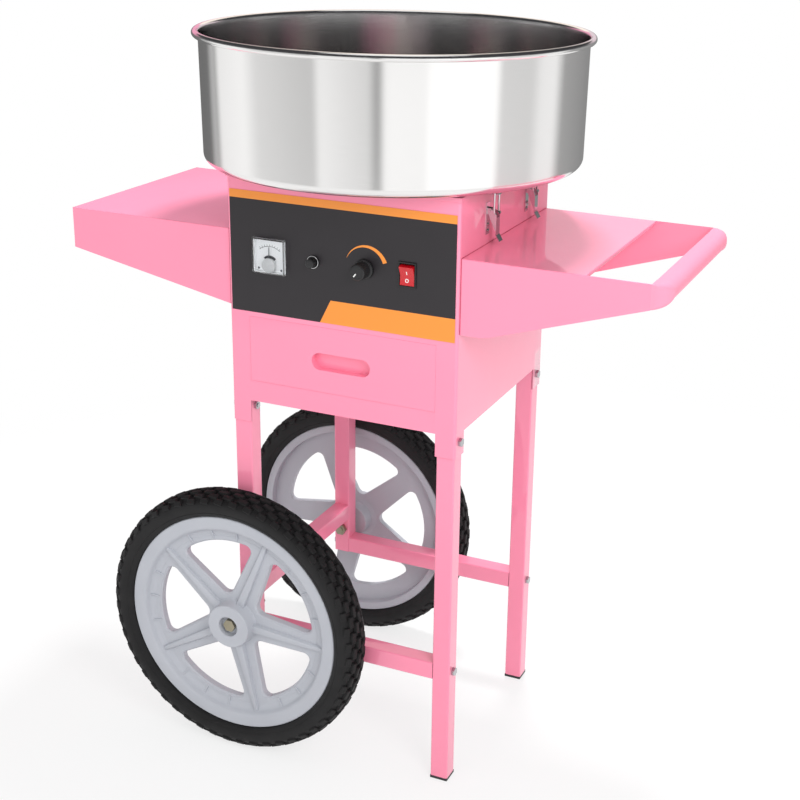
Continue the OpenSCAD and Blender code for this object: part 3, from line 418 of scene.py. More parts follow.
# Wheels: one-piece grey mouldings with five ribbed spokes, a dished rim and a
# deep hub, each on a hex bolt through the left leg.
crosswise = (0, 1, 0)
window_count = 5
spoke_angle = math.tau / window_count
wheel_grey = finish("grey_nylon", (176, 179, 187), (188, 191, 198), (14.0, 3.0), 0.4, 0.14, (90.0,),
                    (0.08, 0.0003, 900.0), Specular_IOR_Level=0.45)


def spun(work, outline, steps, axis, closed=True):
    """Spins an outline, radius and place along the axis, round an axis through the origin."""
    verts = [work.verts.new(Vector((r, 0, 0)) + along * Vector(axis)) for r, along in outline]
    following = verts[1:] + verts[:1] if closed else verts[1:]
    edges = [work.edges.new(pair) for pair in zip(verts, following)]
    bmesh.ops.spin(work, geom=verts + edges, cent=(0, 0, 0), axis=axis, angle=math.tau, steps=steps,
                   use_merge=True)
    bmesh.ops.remove_doubles(work, verts=work.verts, dist=same)
    faced(work)


def around(work, count, axis):
    """Repeats all there is count times round an axis through the origin."""
    bmesh.ops.spin(work, geom=everything(work), cent=(0, 0, 0), axis=axis,
                   angle=math.tau * (count - 1) / count, steps=count - 1, use_duplicate=True)


def pour(work, part):
    """Adds all of one bmesh to another and frees it."""
    hold = bpy.data.meshes.new("part")
    part.to_mesh(hold)
    part.free()
    work.from_mesh(hold)
    bpy.data.meshes.remove(hold)


def thicken(work, faces, by):
    """Gives flat faces a body that reaches this far."""
    grown = bmesh.ops.extrude_face_region(work, geom=faces, use_keep_orig=True)["geom"]
    bmesh.ops.translate(work, vec=by, verts=points(grown))


def swung(work, angle, axis="Y"):
    """Turns all there is about an axis through the origin."""
    bmesh.ops.rotate(work, verts=work.verts, cent=(0, 0, 0), matrix=Matrix.Rotation(angle, 3, axis))


def moved(work, by):
    """Shifts all there is."""
    bmesh.ops.translate(work, vec=by, verts=work.verts)


def wheel_web():
    """A round plate with five rounded windows and a thin lip round each, its first spoke along X."""
    half, plate_half, lip = spoke_angle / 2, 0.0045, 0.0022
    tip, rim_reach, spoke_end, spoke_half = 0.0357, 0.1215, 0.1205, 0.0155
    side_x = spoke_end * math.cos(half) + spoke_half * math.sin(half)
    side_z = spoke_end * math.sin(half) - spoke_half * math.cos(half)
    spread = math.atan2(side_z, side_x)
    rim_arc = [(rim_reach * math.cos(spread * k / 4), 0, rim_reach * math.sin(spread * k / 4))
               for k in range(-3, 4)]
    web = bmesh.new()
    outline = [(tip, 0, 0), (side_x, 0, -side_z)] + rim_arc + [(side_x, 0, side_z)]
    loop = [web.verts.new(p) for p in outline]
    web.faces.new(loop)
    for verts, radius, segments in ((loop[:1], 0.0146, 8), ([loop[1], loop[-1]], 0.013, 6)):
        bmesh.ops.bevel(web, geom=verts, offset=radius, affect="VERTICES", segments=segments,
                        profile=0.5, material=-1)
    bmesh.ops.delete(web, geom=web.faces[:], context="FACES_ONLY")
    around(web, window_count, crosswise)
    for radius in (0.0285, 0.1305):
        bmesh.ops.create_circle(web, segments=90, radius=radius,
                                matrix=Matrix.Rotation(math.pi / 2, 4, "X"))
    bmesh.ops.triangle_fill(web, edges=web.edges[:], use_beauty=True)
    swung(web, -half)
    faced(web)
    if web.faces[0].normal.y > 0:
        bmesh.ops.reverse_faces(web, faces=web.faces)
    moved(web, (0, -plate_half, 0))
    thicken(web, web.faces[:], (0, 2 * plate_half, 0))
    outer = [f for f in web.faces if all(abs(v.co.y + plate_half) < same for v in f.verts)]
    bmesh.ops.inset_region(web, faces=outer, thickness=lip, depth=-lip, use_boundary=True,
                           use_even_offset=True)
    return web


def spoke_ribs():
    """A rib along each spoke from the hub to the rim's wall, narrower at its crest."""
    ribs = bmesh.new()
    for v in block(ribs, (0.02, -0.0108, -0.0072), (0.1392, 0.0, 0.0072)):
        at_hub = v.co.x < 0.1
        if v.co.y < -0.01:
            v.co.z *= 0.82 if at_hub else 0.36
            v.co.y -= 0.003 if at_hub else 0
    rounded(ribs, ribs.edges[:], 0.0012, 2)
    around(ribs, window_count, crosswise)
    return ribs


def ledge_rib(angle):
    """A short tapered rib on the rim's ledge, once to each window."""
    ribs = bmesh.new()
    for v in block(ribs, (0.1235, -0.0102, -0.0015), (0.1395, -0.004, 0.0015)):
        if v.co.y < -0.008:
            v.co.z *= 0.6
            if v.co.x < 0.13:
                v.co.y = -0.0074
    swung(ribs, angle)
    around(ribs, window_count, crosswise)
    return ribs


def wheel_moulding(first_spoke):
    """The rim, web, spokes and hub of a wheel at the origin, its outside at -Y."""
    # Both outlines are in millimetres, radius and how far out
    rim = [(160, 16), (159, 17), (144.5, 17), (142, 16.3), (140, 14.2), (138.6, 11), (136.5, 8.4),
           (132, 6.9), (123, 5.8), (121, 4.5), (121, -4.5), (147, -5.5), (148, -16), (149, -17),
           (159, -17), (160, -16), (160, -13.5), (155, -12.5), (155, 12.5), (160, 13.5)]
    hub = [(5.3, 16), (13.9, 16), (14.3, 16.4), (14.5, 25.2), (15.3, 26), (30.4, 26), (31.5, 25),
           (32.2, 12), (34, 7.5), (36, 4.8), (36, -4.5), (28, -6), (27, -22.6), (26, -23.6),
           (5.3, -23.6)]
    work = bmesh.new()
    for outline, steps in ((rim, 120), (hub, 64)):
        spun(work, [(r / 1000, -out / 1000) for r, out in outline], steps, crosswise)
    web = wheel_web()
    pour(web, spoke_ribs())
    for k in (-1, 0, 1):
        pour(web, ledge_rib(-spoke_angle / 2 + k * math.radians(17)))
    swung(web, -math.radians(first_spoke))
    pour(work, web)
    return work


# Tyres: black rubber with plain sidewalls and a small block tread, staggered
# rows on the crown and lugs leaning down the shoulders.
rubber = finish("black_rubber", (19, 19, 20), (30, 29, 30), (35.0, 4.0), 0.55, 0.2, (60.0, 3.0),
                (0.2, 0.0003, 1200.0, 3.0), Specular_IOR_Level=0.35)


def tyre_casing():
    """A tyre at the origin, round the Y axis. Its tables are in millimetres and degrees."""
    half = [(155, 12.5), (160.3, 13.2), (160.3, 16.8), (161.6, 18.8), (164, 20.6), (167, 22),
            (167.6, 21.7), (168.6, 22.3), (172, 23.4), (176, 23.8), (180, 23.4), (183, 21.8),
            (185.4, 19), (187.2, 15.2), (188.6, 10), (189.2, 4)]
    outline = half + [(r, -y) for r, y in reversed(half)]
    work = bmesh.new()
    spun(work, [(r / 1000, y / 1000) for r, y in outline], 128, crosswise)
    lug_count, lug_half, skew = 52, 0.0026, math.radians(8)
    pitch = math.tau / lug_count
    # Across, radius, lean, shift in pitches, length and width of each row of lugs
    rows = [(4.7, 191.1, 0, 0.0, 18.0, 8.8), (-4.7, 191.1, 0, 0.5, 18.0, 8.8),
            (13.6, 189.0, 17, 0.5, 17.5, 8.6), (-13.6, 189.0, -17, 0.0, 17.5, 8.6),
            (20.4, 184.4, 52, 0.0, 14.0, 9.4), (-20.4, 184.4, -52, 0.5, 14.0, 9.4)]
    for across, radius, lean, shift, run, width in rows:
        lug = bmesh.new()
        far = Vector((lug_half, width / 2000, run / 2000))
        for v in block(lug, -far, far):
            if v.co.x > 0:
                v.co.y *= 0.8
                v.co.z *= 0.84
        rounded(lug, lug.edges[:], 0.0008, 1)
        swung(lug, math.copysign(skew, across), "X")
        swung(lug, math.radians(lean), "Z")
        moved(lug, (radius / 1000, across / 1000, 0))
        swung(lug, shift * pitch)
        around(lug, lug_count, crosswise)
        pour(work, lug)
    return work


for name, outward, first_spoke in (("front", -1, -4.5), ("rear", 1, 41.5)):
    low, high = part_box(name + "_tyre")
    for kind, work, material, slot in (
            ("wheel_rim", wheel_moulding(first_spoke), wheel_grey, "grey_plastic"),
            ("tyre", tyre_casing(), rubber, "tyre")):
        if outward > 0:
            bmesh.ops.scale(work, vec=(1, -1, 1), verts=work.verts)
        faced(work)
        moved(work, (low + high) / 2)
        piece(name + "_" + kind + "_moulded", work, material, name + "_wheel", slot, name + "_" + kind)

# Left shelf: a steel tray turned upside down, its skirts tapering to the tip, screwed
# to the body's side through its back, with a dark strip in the gap as painted shade.
fold = 0.0013
stand_off = 0.0013
tip_height = 0.055
back_rise, back_drop = 0.002, 0.005


def skirt(work, outline, y):
    """An upright plate of this outline, inwards from y; returns its outer face's first two edges."""
    face = work.faces.new([work.verts.new((x, y, z)) for x, z in outline])
    first = face.edges[:2]
    thicken(work, [face], (0, steel, 0))
    return first


def opposite(work):
    """Adds everything so far again on the other side of the cart's middle."""
    bmesh.ops.mirror(work, geom=everything(work), matrix=Matrix(), merge_dist=same, axis="Y")


def end_folded(work, low, high, side):
    """A level or upright plate whose top edge at that end is rounded."""
    verts = block(work, low, high)
    at = high[0] if side > 0 else low[0]
    top_end = [v for v in verts if abs(v.co.x - at) < same and v.co.z > high[2] - same]
    rounded(work, [e for e in long_edges(verts, 1) if all(v in top_end for v in e.verts)], fold, 4)


low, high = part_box("left_shelf")
inner_end = high.x - stand_off
inside = high.y - steel
work = bmesh.new()
soft = skirt(work, [(inner_end, high.z), (low.x, high.z), (low.x, high.z - tip_height),
                    (inner_end, low.z)], low.y)
rounded(work, soft, fold, 4)
opposite(work)
block(work, (low.x + steel, -inside, high.z - steel), (inner_end, inside, high.z))
end_folded(work, (low.x, -inside, high.z - tip_height), (low.x + steel, inside, high.z), -1)
block(work, (high.x - steel, -inside, low.z + back_rise), (high.x, inside, high.z - back_drop))
faced(work)
even(piece("left_shelf_tray", work, pink, "cart", "pink_paint", "left_shelf"))
# The strip's maroon is painted shade, standing in for the shadow line in the gap at the body.
seam_shade = finish("maroon_painted_seam_shade", (186, 72, 100), (202, 84, 112), (60.0,), 0.6, 0.2, (300.0,))
shade_proud, shade_deep = 0.0004, 0.004


def shade_strip(name, near, far, low, high):
    """A thin dark strip in the gap between a shelf's edge and the body, along its plate and skirts:
    painted shade.
    """
    work = bmesh.new()
    block(work, (near, -inside, high.z - shade_deep), (far, inside, high.z + shade_proud))
    for y in (-high.y, inside):
        block(work, (near, y, low.z), (far, y + steel, high.z + shade_proud))
    ease(piece(name, work, seam_shade, "cart", "black_plastic"), 0.0002, 1)


shade_strip("left_shelf_seam_shade", inner_end, high.x, low, high)

# Right shelf: the same sheet, its skirts running on past the plate to carry
# the handle, level below for a short way and then rising straight.
low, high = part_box("right_shelf")
inner_end = low.x + stand_off
plate_end, hand_face, level_end = low.x + 0.159, low.x + 0.238, low.x + 0.026
end_height, lip_height = 0.0315, 0.004
knee_run, knee_rise = 0.012, 0.0018
work = bmesh.new()
soft = skirt(work, [(inner_end, high.z), (hand_face, high.z), (hand_face, high.z - end_height),
                    (level_end + knee_run, low.z + knee_rise), (level_end, low.z),
                    (inner_end, low.z)], low.y)
rounded(work, soft[:1], fold, 4)
opposite(work)
end_folded(work, (inner_end, -inside, high.z - steel), (plate_end, inside, high.z), 1)
block(work, (plate_end - steel, -inside, high.z - lip_height), (plate_end, inside, high.z - steel))
block(work, (low.x, -inside, low.z + back_rise), (low.x + steel, inside, high.z - back_drop))
faced(work)
even(piece("right_shelf_tray", work, pink, "cart", "pink_paint", "right_shelf"))
shade_strip("right_shelf_seam_shade", low.x, inner_end, low, high)

# Handle: a bullnose bar rolled from the same sheet, which the skirts' outer
# faces run into round a wide bend at each end, in a less shiny pink.
def arc(r, z, radius, start, end, count):
    """Points on a circle in the outline's plane, by angle in degrees."""
    angles = [math.radians(start + (end - start) * k / count) for k in range(count + 1)]
    return [(r + radius * math.cos(a), z + radius * math.sin(a)) for a in angles]


slimmer = 0.0045
bar_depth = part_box("push_handle")[1].x - hand_face - slimmer
bar_height, nose, inner_nose = 0.0255, 0.0122, 0.0005
bends = 10


def bar_ring(work, share, shift=0.0):
    """The bar's outline at a share of the way round its end bend, as a loop of edges."""
    height = end_height + (bar_height - end_height) * share
    soft = fold + (nose - fold) * share
    outline = [(0, inner_nose - bar_height), (0, -inner_nose), (inner_nose, 0)]
    outline += arc(bar_depth - soft, -soft, soft, 90, 0, 6)
    outline += arc(bar_depth - soft, soft - height, soft, 0, -90, 6) + [(inner_nose, -bar_height)]
    turn = math.pi / 2 * share
    verts = [work.verts.new((hand_face + u * math.sin(turn),
                             low.y + bar_depth - u * math.cos(turn) + shift, high.z + z))
             for u, z in outline]
    return [work.edges.new(pair) for pair in zip(verts, verts[1:] + verts[:1])]


work = bmesh.new()
rings = [bar_ring(work, k / bends) for k in range(bends + 1)]
rings.append(bar_ring(work, 1, -low.y - bar_depth))
for near, far in zip(rings, rings[1:]):
    bmesh.ops.bridge_loops(work, edges=near + far)
bmesh.ops.contextual_create(work, geom=rings[0])
opposite(work)
bmesh.ops.remove_doubles(work, verts=work.verts, dist=same)
faced(work)
grip = finish("grip_paint", (252, 146, 173), (254, 152, 178), (9.0,), 0.5, 0.1, (60.0,),
              Coat_Weight=0.25, Coat_Roughness=0.3, Specular_IOR_Level=0.2)
even(piece("handle_bar", work, grip, "cart", "pink_paint", "push_handle"))

# Bowl: spun stainless steel with a rolled bead round its rim and a tight lower
# corner, brushed round its axis, painted darker inside as shade, on a black ring on the deck.
stainless, place, feed = coat_of("brushed_stainless", Metallic=1.0, Anisotropic=0.85,
                                 Anisotropic_Rotation=0.25)
low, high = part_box("bowl")
axis_x = (low.x + high.x) / 2
base, rim = low.z, high.z
rim_r, bead, foot_r, corner, wall = high.x - axis_x, 0.0045, 0.2495, 0.012, 0.0012
flare = (rim_r - 2 * bead - foot_r) / (rim - base)
x, y, z = place.axis("X") - axis_x, place.axis("Y"), place.axis("Z")
round_it = place.math("ARCTAN2", y, x)
brushed = place.node("ShaderNodeCombineXYZ", {}, {0: round_it * 0.35, 1: z * 60.0, 2: 0.0})
lines = brushed.noise(26.0, 3.0)
drop = place.math("MAXIMUM", base + corner - z, 0.0)
inset = corner - place.math("SQRT", place.math("MAXIMUM", corner * corner - drop * drop, 0.0))
out_by = place.math("SQRT", x * x + y * y) - (z - base) * flare + inset
outside = out_by.over(foot_r - wall / 2, 0.0004)
# The inside's darker steel colour is painted shade.
shaded_inside = lines.between(colour(192, 189, 186), colour(206, 203, 200))
bright = lines.between(colour(232, 231, 230), colour(242, 241, 240))
feed(Base_Color=outside.between(shaded_inside, bright), Roughness=0.13 + 0.06 * lines,
     Normal=lines.bump(0.06, 0.0003))
hole_r, neck_r, neck_high = 0.014, 0.0152, 0.03
turn_r, turn_z = foot_r - corner, base + corner
outline = [(hole_r, base)] + arc(turn_r, turn_z, corner, -90, 0, 8)
outline += arc(rim_r - bead, rim - bead, bead, 215, 540, 18)
outline += [(rim_r - 2 * bead - 0.0004, rim - 2 * bead)]
outline += arc(turn_r, turn_z, corner - wall, 0, -90, 8)
outline += [(neck_r + 0.002, base + wall), (neck_r, base + wall + 0.002), (neck_r, base + neck_high),
            (hole_r, base + neck_high)]
upright = (0, 0, 1)
work = bmesh.new()
spun(work, outline, 160, upright)
moved(work, (axis_x, 0, 0))
piece("spun_bowl", work, stainless, "cart", "stainless", "bowl")
painted("bowl_seat", black)

# Spinner: an aluminium pan and lid that clamp a band of thin slotted strip,
# the heater, with three screws round the sugar hole.
spun_alu, place, feed = coat_of("spun_aluminium", Metallic=1.0)
off = place.node("ShaderNodeVectorMath", {"operation": "SUBTRACT"}, {0: place, 1: (axis_x, 0, 0)})
flat = place.node("ShaderNodeVectorMath", {"operation": "MULTIPLY"}, {0: off, 1: (1, 1, 0)})
radius = place.node("ShaderNodeVectorMath", {"operation": "LENGTH"}, {0: flat}, "Value")
turning = place.node("ShaderNodeTexNoise", {"noise_dimensions": "1D"}, {"W": radius, "Scale": 2600.0})
feed(Base_Color=turning.between(colour(198, 199, 202), colour(222, 223, 225)),
     Roughness=0.26 + 0.14 * turning)
low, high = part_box("spinner_lid")
lid_z, lid_top, lid_r = low.z, high.z, (high.x - low.x) / 2
outline = [(0.022, lid_top - 0.002), (0.0225, lid_top - 0.0002), (0.0235, lid_top),
           (0.052, lid_z + 0.0026), (0.0535, lid_z + 0.002), (lid_r - 0.001, lid_z + 0.002),
           (lid_r, lid_z + 0.001), (lid_r - 0.0004, lid_z), (0.0535, lid_z),
           (0.052, lid_z + 0.0004), (0.024, lid_top - 0.0022)]
work = bmesh.new()
spun(work, outline, 72, upright)
moved(work, (axis_x, 0, 0))
piece("spinner_lid_spun", work, spun_alu, "head", "aluminium", "spinner_lid")
screw_out, screw_up, lid_slope = 0.0375, 0.0068, math.radians(12)
work = bmesh.new()
screw_head(work, (screw_out, 0, lid_z + screw_up), lid_slope, "Y", 0.0036, 0.0032, 0.0022, 18)
rounded(work, [e for e in work.edges if all(v.co.z > lid_z + 0.006 for v in e.verts)], 0.0005, 2)
around(work, 3, upright)
moved(work, (axis_x, 0, 0))
piece("spinner_screws", work, plated, "head", "steel")
painted("spinner_pan", spun_alu)
hot, place, feed = coat_of("tinted_strip", Metallic=1.0)
tint = place.noise(55.0, 3.0)
feed(Base_Color=tint.between(colour(150, 128, 104), colour(196, 188, 180)),
     Roughness=0.28 + 0.2 * tint)
low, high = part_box("heater_ring")
hoop, strip_half, strip_in = 0.003, 0.0011, 0.0025
inner_r = lid_r - 0.002
work = bmesh.new()
strip = block(work, (inner_r, -strip_half, low.z + strip_in),
              (lid_r - 0.0002, strip_half, high.z - strip_in))
rounded(work, long_edges(strip, 2), 0.0003, 1)
around(work, 90, upright)
for z0, z1 in ((low.z, low.z + hoop), (high.z - hoop, high.z)):
    spun(work, [(inner_r, z0), (lid_r, z0), (lid_r, z1), (inner_r, z1)], 90, upright)
moved(work, (axis_x, 0, 0))
piece("heater_strip", work, hot, "head", "heater", "heater_ring")

# Drive: an enamelled motor on posts under the deck, with brass slip rings, a
# brush block and a small transformer, all inside the body.
enamel = finish("dark_enamel", (52, 54, 58), (70, 72, 76), (25.0,), 0.35, 0.2, (120.0,),
                Coat_Weight=0.2)
brass = finish("turned_brass", (196, 154, 84), (222, 186, 116), (80.0,), 0.25, 0.2, (300.0,),
               Metallic=1.0)
board = finish("brown_board", (84, 58, 38), (112, 82, 54), (90.0, 4.0), 0.5, 0.2, (200.0,))
for name, material in (("motor", enamel), ("transformer", enamel), ("slip_rings", brass),
                       ("brush_block", board)):
    painted(name, material)

# Fascia: a printed film on the front, black with an orange strip along its top,
# an orange band at its lower right and a swelling orange arc over the knob.
film, place, feed = coat_of("printed_film", Specular_IOR_Level=0.5)
x, z = place.axis("X"), place.axis("Z")
low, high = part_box("control_fascia")
knob_low, knob_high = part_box("heat_knob")
knob = (knob_low + knob_high) / 2
strip_height, band_height, band_start, band_slant = 0.0105, 0.031, 0.1295, 0.5
strip = z.over(high.z - strip_height)
slant = low.x + band_start + (z - low.z) * band_slant
band = (1 - z.over(low.z + band_height)) * (x - slant).over(0.0)
arc_r, arc_thin, arc_swell, arc_right, arc_left = 0.0285, 0.0001, 0.0029, 0.36, 2.75
dx, dz = x - knob.x - 0.0015, z - knob.z - 0.0006
ring = place.math("SQRT", dx * dx + dz * dz)
angle = place.math("ARCTAN2", dz, dx)
swell = arc_thin + arc_swell * place.math("ADD", (arc_left - angle) / 2.5, 0.0, clamp=True)
sweep = 1 - (abs(ring - arc_r) - swell).over(0.0)
sweep = sweep * angle.over(arc_right, 0.02) * (1 - angle.over(arc_left, 0.02))
ink = place.math("MAXIMUM", place.math("MAXIMUM", strip, band), sweep)
film_black = place.noise(20.0).between(colour(33, 29, 33), colour(38, 34, 38))
feed(Base_Color=ink.between(film_black, colour(243, 146, 50)),
     Roughness=0.34 + 0.1 * place.noise(260.0), Normal=place.noise(1500.0).bump(0.05, 0.0002))
painted("control_fascia", film)

# Meter: a clear square moulding over a white printed dial with a fine needle;
# a black arc and a grey cover hide the movement, with two small screws.
face_y = low.y
card, place, feed = coat_of("printed_dial")
low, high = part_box("meter_dial")
pivot = Vector(((low.x + high.x) / 2, 0, (low.z + high.z) / 2 - 0.012))
scale_r, scale_half, tick_end, tick_pitch = 0.0245, 0.66, 0.0272, 0.0735
shade_in, shade_out = 0.0085, 0.0126
dx, dz = place.axis("X") - pivot.x, place.axis("Z") - pivot.z
ring = place.math("SQRT", dx * dx + dz * dz)
angle = place.math("ARCTAN2", dx, dz)
span = 1 - abs(angle).over(scale_half, 0.01)
scale_line = (1 - abs(ring - scale_r).over(0.0003, 0.0002)) * span
step = place.math("PINGPONG", angle + tick_pitch, tick_pitch)
ticks = step.over(0.064, 0.004) * ring.over(scale_r, 0.0002) * (1 - ring.over(tick_end, 0.0002)) * span
shade = (1 - ring.over(shade_out)) * ring.over(shade_in) * (1 - abs(angle).over(0.8, 0.05))
marks = place.math("MAXIMUM", place.math("MAXIMUM", scale_line, ticks), shade)
feed(Base_Color=marks.between(colour(240, 241, 242), colour(52, 54, 60)),
     Roughness=0.5 + 0.1 * place.noise(500.0))
low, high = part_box("meter_lens")
meter_at = Vector(((low.x + high.x) / 2, face_y, (low.z + high.z) / 2))


def stepped(work, sizes, at):
    """A square-cut form grown from its back face, by steps of depth, width and height."""
    bmesh.ops.create_grid(work, x_segments=1, y_segments=1, size=0.5,
                          matrix=Matrix.Rotation(math.pi / 2, 4, "X"))
    face, before = work.faces[:], (0, 1, 1)
    for k, now in enumerate(sizes):
        if k:
            grown = bmesh.ops.extrude_face_region(work, geom=face + face[0].edges[:])["geom"]
            face = [g for g in grown if isinstance(g, bmesh.types.BMFace)]
        verts = face[0].verts[:]
        bmesh.ops.scale(work, vec=(now[1] / before[1], 1, now[2] / before[2]), verts=verts)
        bmesh.ops.translate(work, vec=(0, now[0] - before[0], 0), verts=verts)
        before = now
    faced(work)
    moved(work, at)


case_side, tray_side, tray_in = 0.0463, 0.0428, 0.0412
tray_front, tray_floor, lens_depth = -0.0052, -0.001, 0.64
work = bmesh.new()
stepped(work, [(0, tray_side, tray_side), (tray_front, tray_side, tray_side),
               (tray_front, tray_in, tray_in), (tray_floor, tray_in, tray_in)], meter_at)
ease(piece("meter_tray", work, card, "cart", "dial", "meter_dial"), 0.0003)
pewter = finish("grey_needle", (70, 72, 78), (88, 90, 96), (200.0,), 0.4, 0.1, (500.0,))
painted("meter_needle", pewter)
painted("meter_case", black)
clear, place, feed = coat_of("clear_moulding", Base_Color=(0.97, 0.98, 0.99, 1),
                             Transmission_Weight=1.0, IOR=1.3)
feed(Roughness=0.02 + 0.03 * place.noise(90.0))
work = from_cad("meter_lens")
bmesh.ops.scale(work, vec=(case_side / (high.x - low.x), lens_depth, case_side / (high.z - low.z)),
                space=Matrix.Translation(-meter_at), verts=work.verts)
ease(piece("meter_window", work, clear, "cart", "window", "meter_lens"), 0.0007)
cover_y, cover_r, cover_thick = face_y - 0.0059, 0.0098, 0.0013
facing_front = Matrix.Rotation(math.pi / 2, 4, "X")
work = bmesh.new()
bmesh.ops.create_circle(work, segments=48, radius=cover_r, cap_ends=True,
                        matrix=Matrix.Translation((pivot.x, cover_y, pivot.z)) @ facing_front)
thicken(work, work.faces[:], (0, cover_thick, 0))
faced(work)
rounded(work, [e for e in work.edges if all(abs(v.co.y - cover_y) < same for v in e.verts)], 0.0006, 2)
smoke = finish("smoked_cover", (184, 185, 186), (212, 213, 214), (80.0,), 0.2, 0.1, (300.0,))
piece("meter_cover", work, smoke, "cart", "grey_plastic")
screw_x, screw_drop = 0.0165, 0.0175
work = bmesh.new()
for x in (-screw_x, screw_x):
    screw_head(work, (meter_at.x + x, face_y - 0.0013, meter_at.z - screw_drop), math.pi / 2, "X",
               0.0016, 0.0011, 0.0008, 14)
rounded(work, [e for e in work.edges if all(v.co.y < face_y - 0.0015 for v in e.verts)], 0.0003, 1)
piece("meter_screws", work, pewter, "cart", "steel")

# Knob: a black moulding with a skirt and a fluted grip on the heat control's
# shaft, with a pale pointer line and a dot on the skirt.
tall = face_y - knob_low.y
outline = [(0.0, 0.0006), (0.0128, 0.0006), (0.013, 0.001), (0.0128, 0.0042), (0.0118, 0.0052),
           (0.0108, 0.0056), (0.0102, tall - 0.0012), (0.0092, tall - 0.0002), (0.0078, tall),
           (0.0074, tall - 0.0004), (0.0, tall - 0.0004)]
work = bmesh.new()
spun(work, [(r, -h) for r, h in outline], 48, crosswise, closed=False)
rib = bmesh.new()
block(rib, (0.0098, -tall + 0.0016, -0.0005), (0.0107, -0.0058, 0.0005))
rounded(rib, long_edges(rib.verts, 1), 0.0003, 1)
around(rib, 30, crosswise)
pour(work, rib)
moved(work, (knob.x, face_y, knob.z))
piece("knob_moulding", work, black, "heat_knob", "black_plastic", "heat_knob")
pale_mark = finish("pale_mark", (214, 216, 214), (232, 232, 230), (300.0,), 0.4, 0.1, (500.0,))
work = bmesh.new()
line = block(work, (0.0020, -tall - 0.0001, -0.0008), (0.0072, -tall + 0.0006, 0.0008))
rounded(work, long_edges(line, 1), 0.0004, 2)
block(work, (0.0108, -0.0054, -0.0007), (0.0122, -0.0044, 0.0007))
swung(work, math.radians(130))
moved(work, (knob.x, face_y, knob.z))
piece("knob_pointer", work, pale_mark, "heat_knob", "dial")
painted("heat_control", black)

# Fuse: a round black screw cap with a coin slot, on its holder's flange, inside
# a thin bright ring.
low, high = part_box("fuse_cap")
at_x, at_z = (low.x + high.x) / 2, (low.z + high.z) / 2
cap_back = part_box("fuse_holder")[0].y - 0.0004
deep = cap_back - low.y
slot_half, slot_deep = 0.0007, 0.0014
outline = [(0.0, 0.0), (0.0058, 0.0), (0.006, 0.0003), (0.006, deep - 0.0012), (0.0052, deep - 0.0003),
           (0.0045, deep), (0.0, deep)]
work = bmesh.new()
spun(work, [(r, -h) for r, h in outline], 40, crosswise, closed=False)
for z0 in (-slot_half, slot_half):
    bmesh.ops.bisect_plane(work, geom=everything(work), plane_co=(0, 0, z0), plane_no=(0, 0, 1))
slot = [f for f in work.faces if f.normal.y < -0.8 and abs(f.calc_center_median().z) < slot_half]
sunk = bmesh.ops.extrude_face_region(work, geom=slot)["geom"]
bmesh.ops.translate(work, vec=(0, slot_deep, 0), verts=points(sunk))
moved(work, (at_x, cap_back, at_z))
piece("fuse_cap_moulding", work, black, "fuse_cap", "black_plastic", "fuse_cap")
painted("fuse_holder", black)
outline = [(0.0071, 0.002), (0.0085, 0.002), (0.0085, 0.0024), (0.0082, 0.0029), (0.0076, 0.003),
           (0.0071, 0.0026)]
work = bmesh.new()
spun(work, [(r, -h) for r, h in outline], 48, crosswise)
moved(work, (at_x, face_y, at_z))
piece("fuse_ring", work, chrome, "cart", "steel")

# Switch: a black snap-in bezel and a red rocker, with a plain bar and ring
# printed on its face.
flange_w, flange_h = switch_high.x - switch_low.x, switch_high.z - switch_low.z
switch_at = Vector(((switch_low.x + switch_high.x) / 2, face_y, (switch_low.z + switch_high.z) / 2))
box_w, box_h, box_deep = 0.0212, 0.0292, 0.013
well_w, well_h, well_deep, bezel_front = 0.0204, 0.0282, 0.0115, -0.002
work = bmesh.new()
stepped(work, [(box_deep, box_w, box_h), (0, box_w, box_h), (0, flange_w, flange_h),
               (bezel_front, flange_w, flange_h), (bezel_front, well_w, well_h),
               (well_deep, well_w, well_h)], switch_at)
ease(piece("switch_bezel", work, black, "cart", "black_plastic", "switch_housing"), 0.0005)
red, place, feed = coat_of("red_rocker", Coat_Weight=0.4)
low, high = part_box("switch_rocker")
bar_at, ring_at, ring_r = 0.0030, -0.0068, 0.0020
dx, dz = place.axis("X") - (low.x + high.x) / 2, place.axis("Z") - (low.z + high.z) / 2
bar = (1 - abs(dx).over(0.0006, 0.0002)) * (1 - abs(dz - bar_at).over(0.0022, 0.0002))
ring = place.math("SQRT", dx * dx + (dz - ring_at) * (dz - ring_at))
marks = place.math("MAXIMUM", bar, 1 - abs(ring - ring_r).over(0.0005, 0.0002))
feed(Base_Color=marks.between(colour(196, 14, 28), colour(240, 236, 232)),
     Roughness=0.22 + 0.1 * place.noise(200.0))
rocker_width, rocker_tilt, rocker_in = 0.0194, math.radians(10), 0.004
# Depth and height round the rocker's end, in millimetres
profile = [(4, -11.4), (4, 11.4), (0, 12.9), (-8.2, 12.4), (-5, 0), (-8.2, -12.4), (0, -12.9)]
work = bmesh.new()
end = work.faces.new([work.verts.new((-rocker_width / 2, y / 1000, z / 1000)) for y, z in profile])
thicken(work, [end], (rocker_width, 0, 0))
faced(work)
swung(work, rocker_tilt, "X")
moved(work, switch_at + Vector((0, rocker_in, 0)))
ease(piece("rocker_moulding", work, red, "switch_rocker", "red_plastic", "switch_rocker"), 0.0006)

# Cable gland: a black moulded nut and bush screwed into the back sheet, empty,
# with softened edges.
gland = from_cad("cable_gland")
ease(piece("gland_moulding", gland, black, "cart", "black_plastic", "cable_gland"), 0.0006)

# Floor and light: a pale floor that keeps the cart's shadow and turns to plain
# white away from it, under an even white surround.
def staged(name, work):
    """Makes a thing that isn't part of the cart."""
    mesh = bpy.data.meshes.new(name)
    work.to_mesh(mesh)
    work.free()
    thing = bpy.data.objects.new(name, mesh)
    scene.collection.objects.link(thing)
    return thing


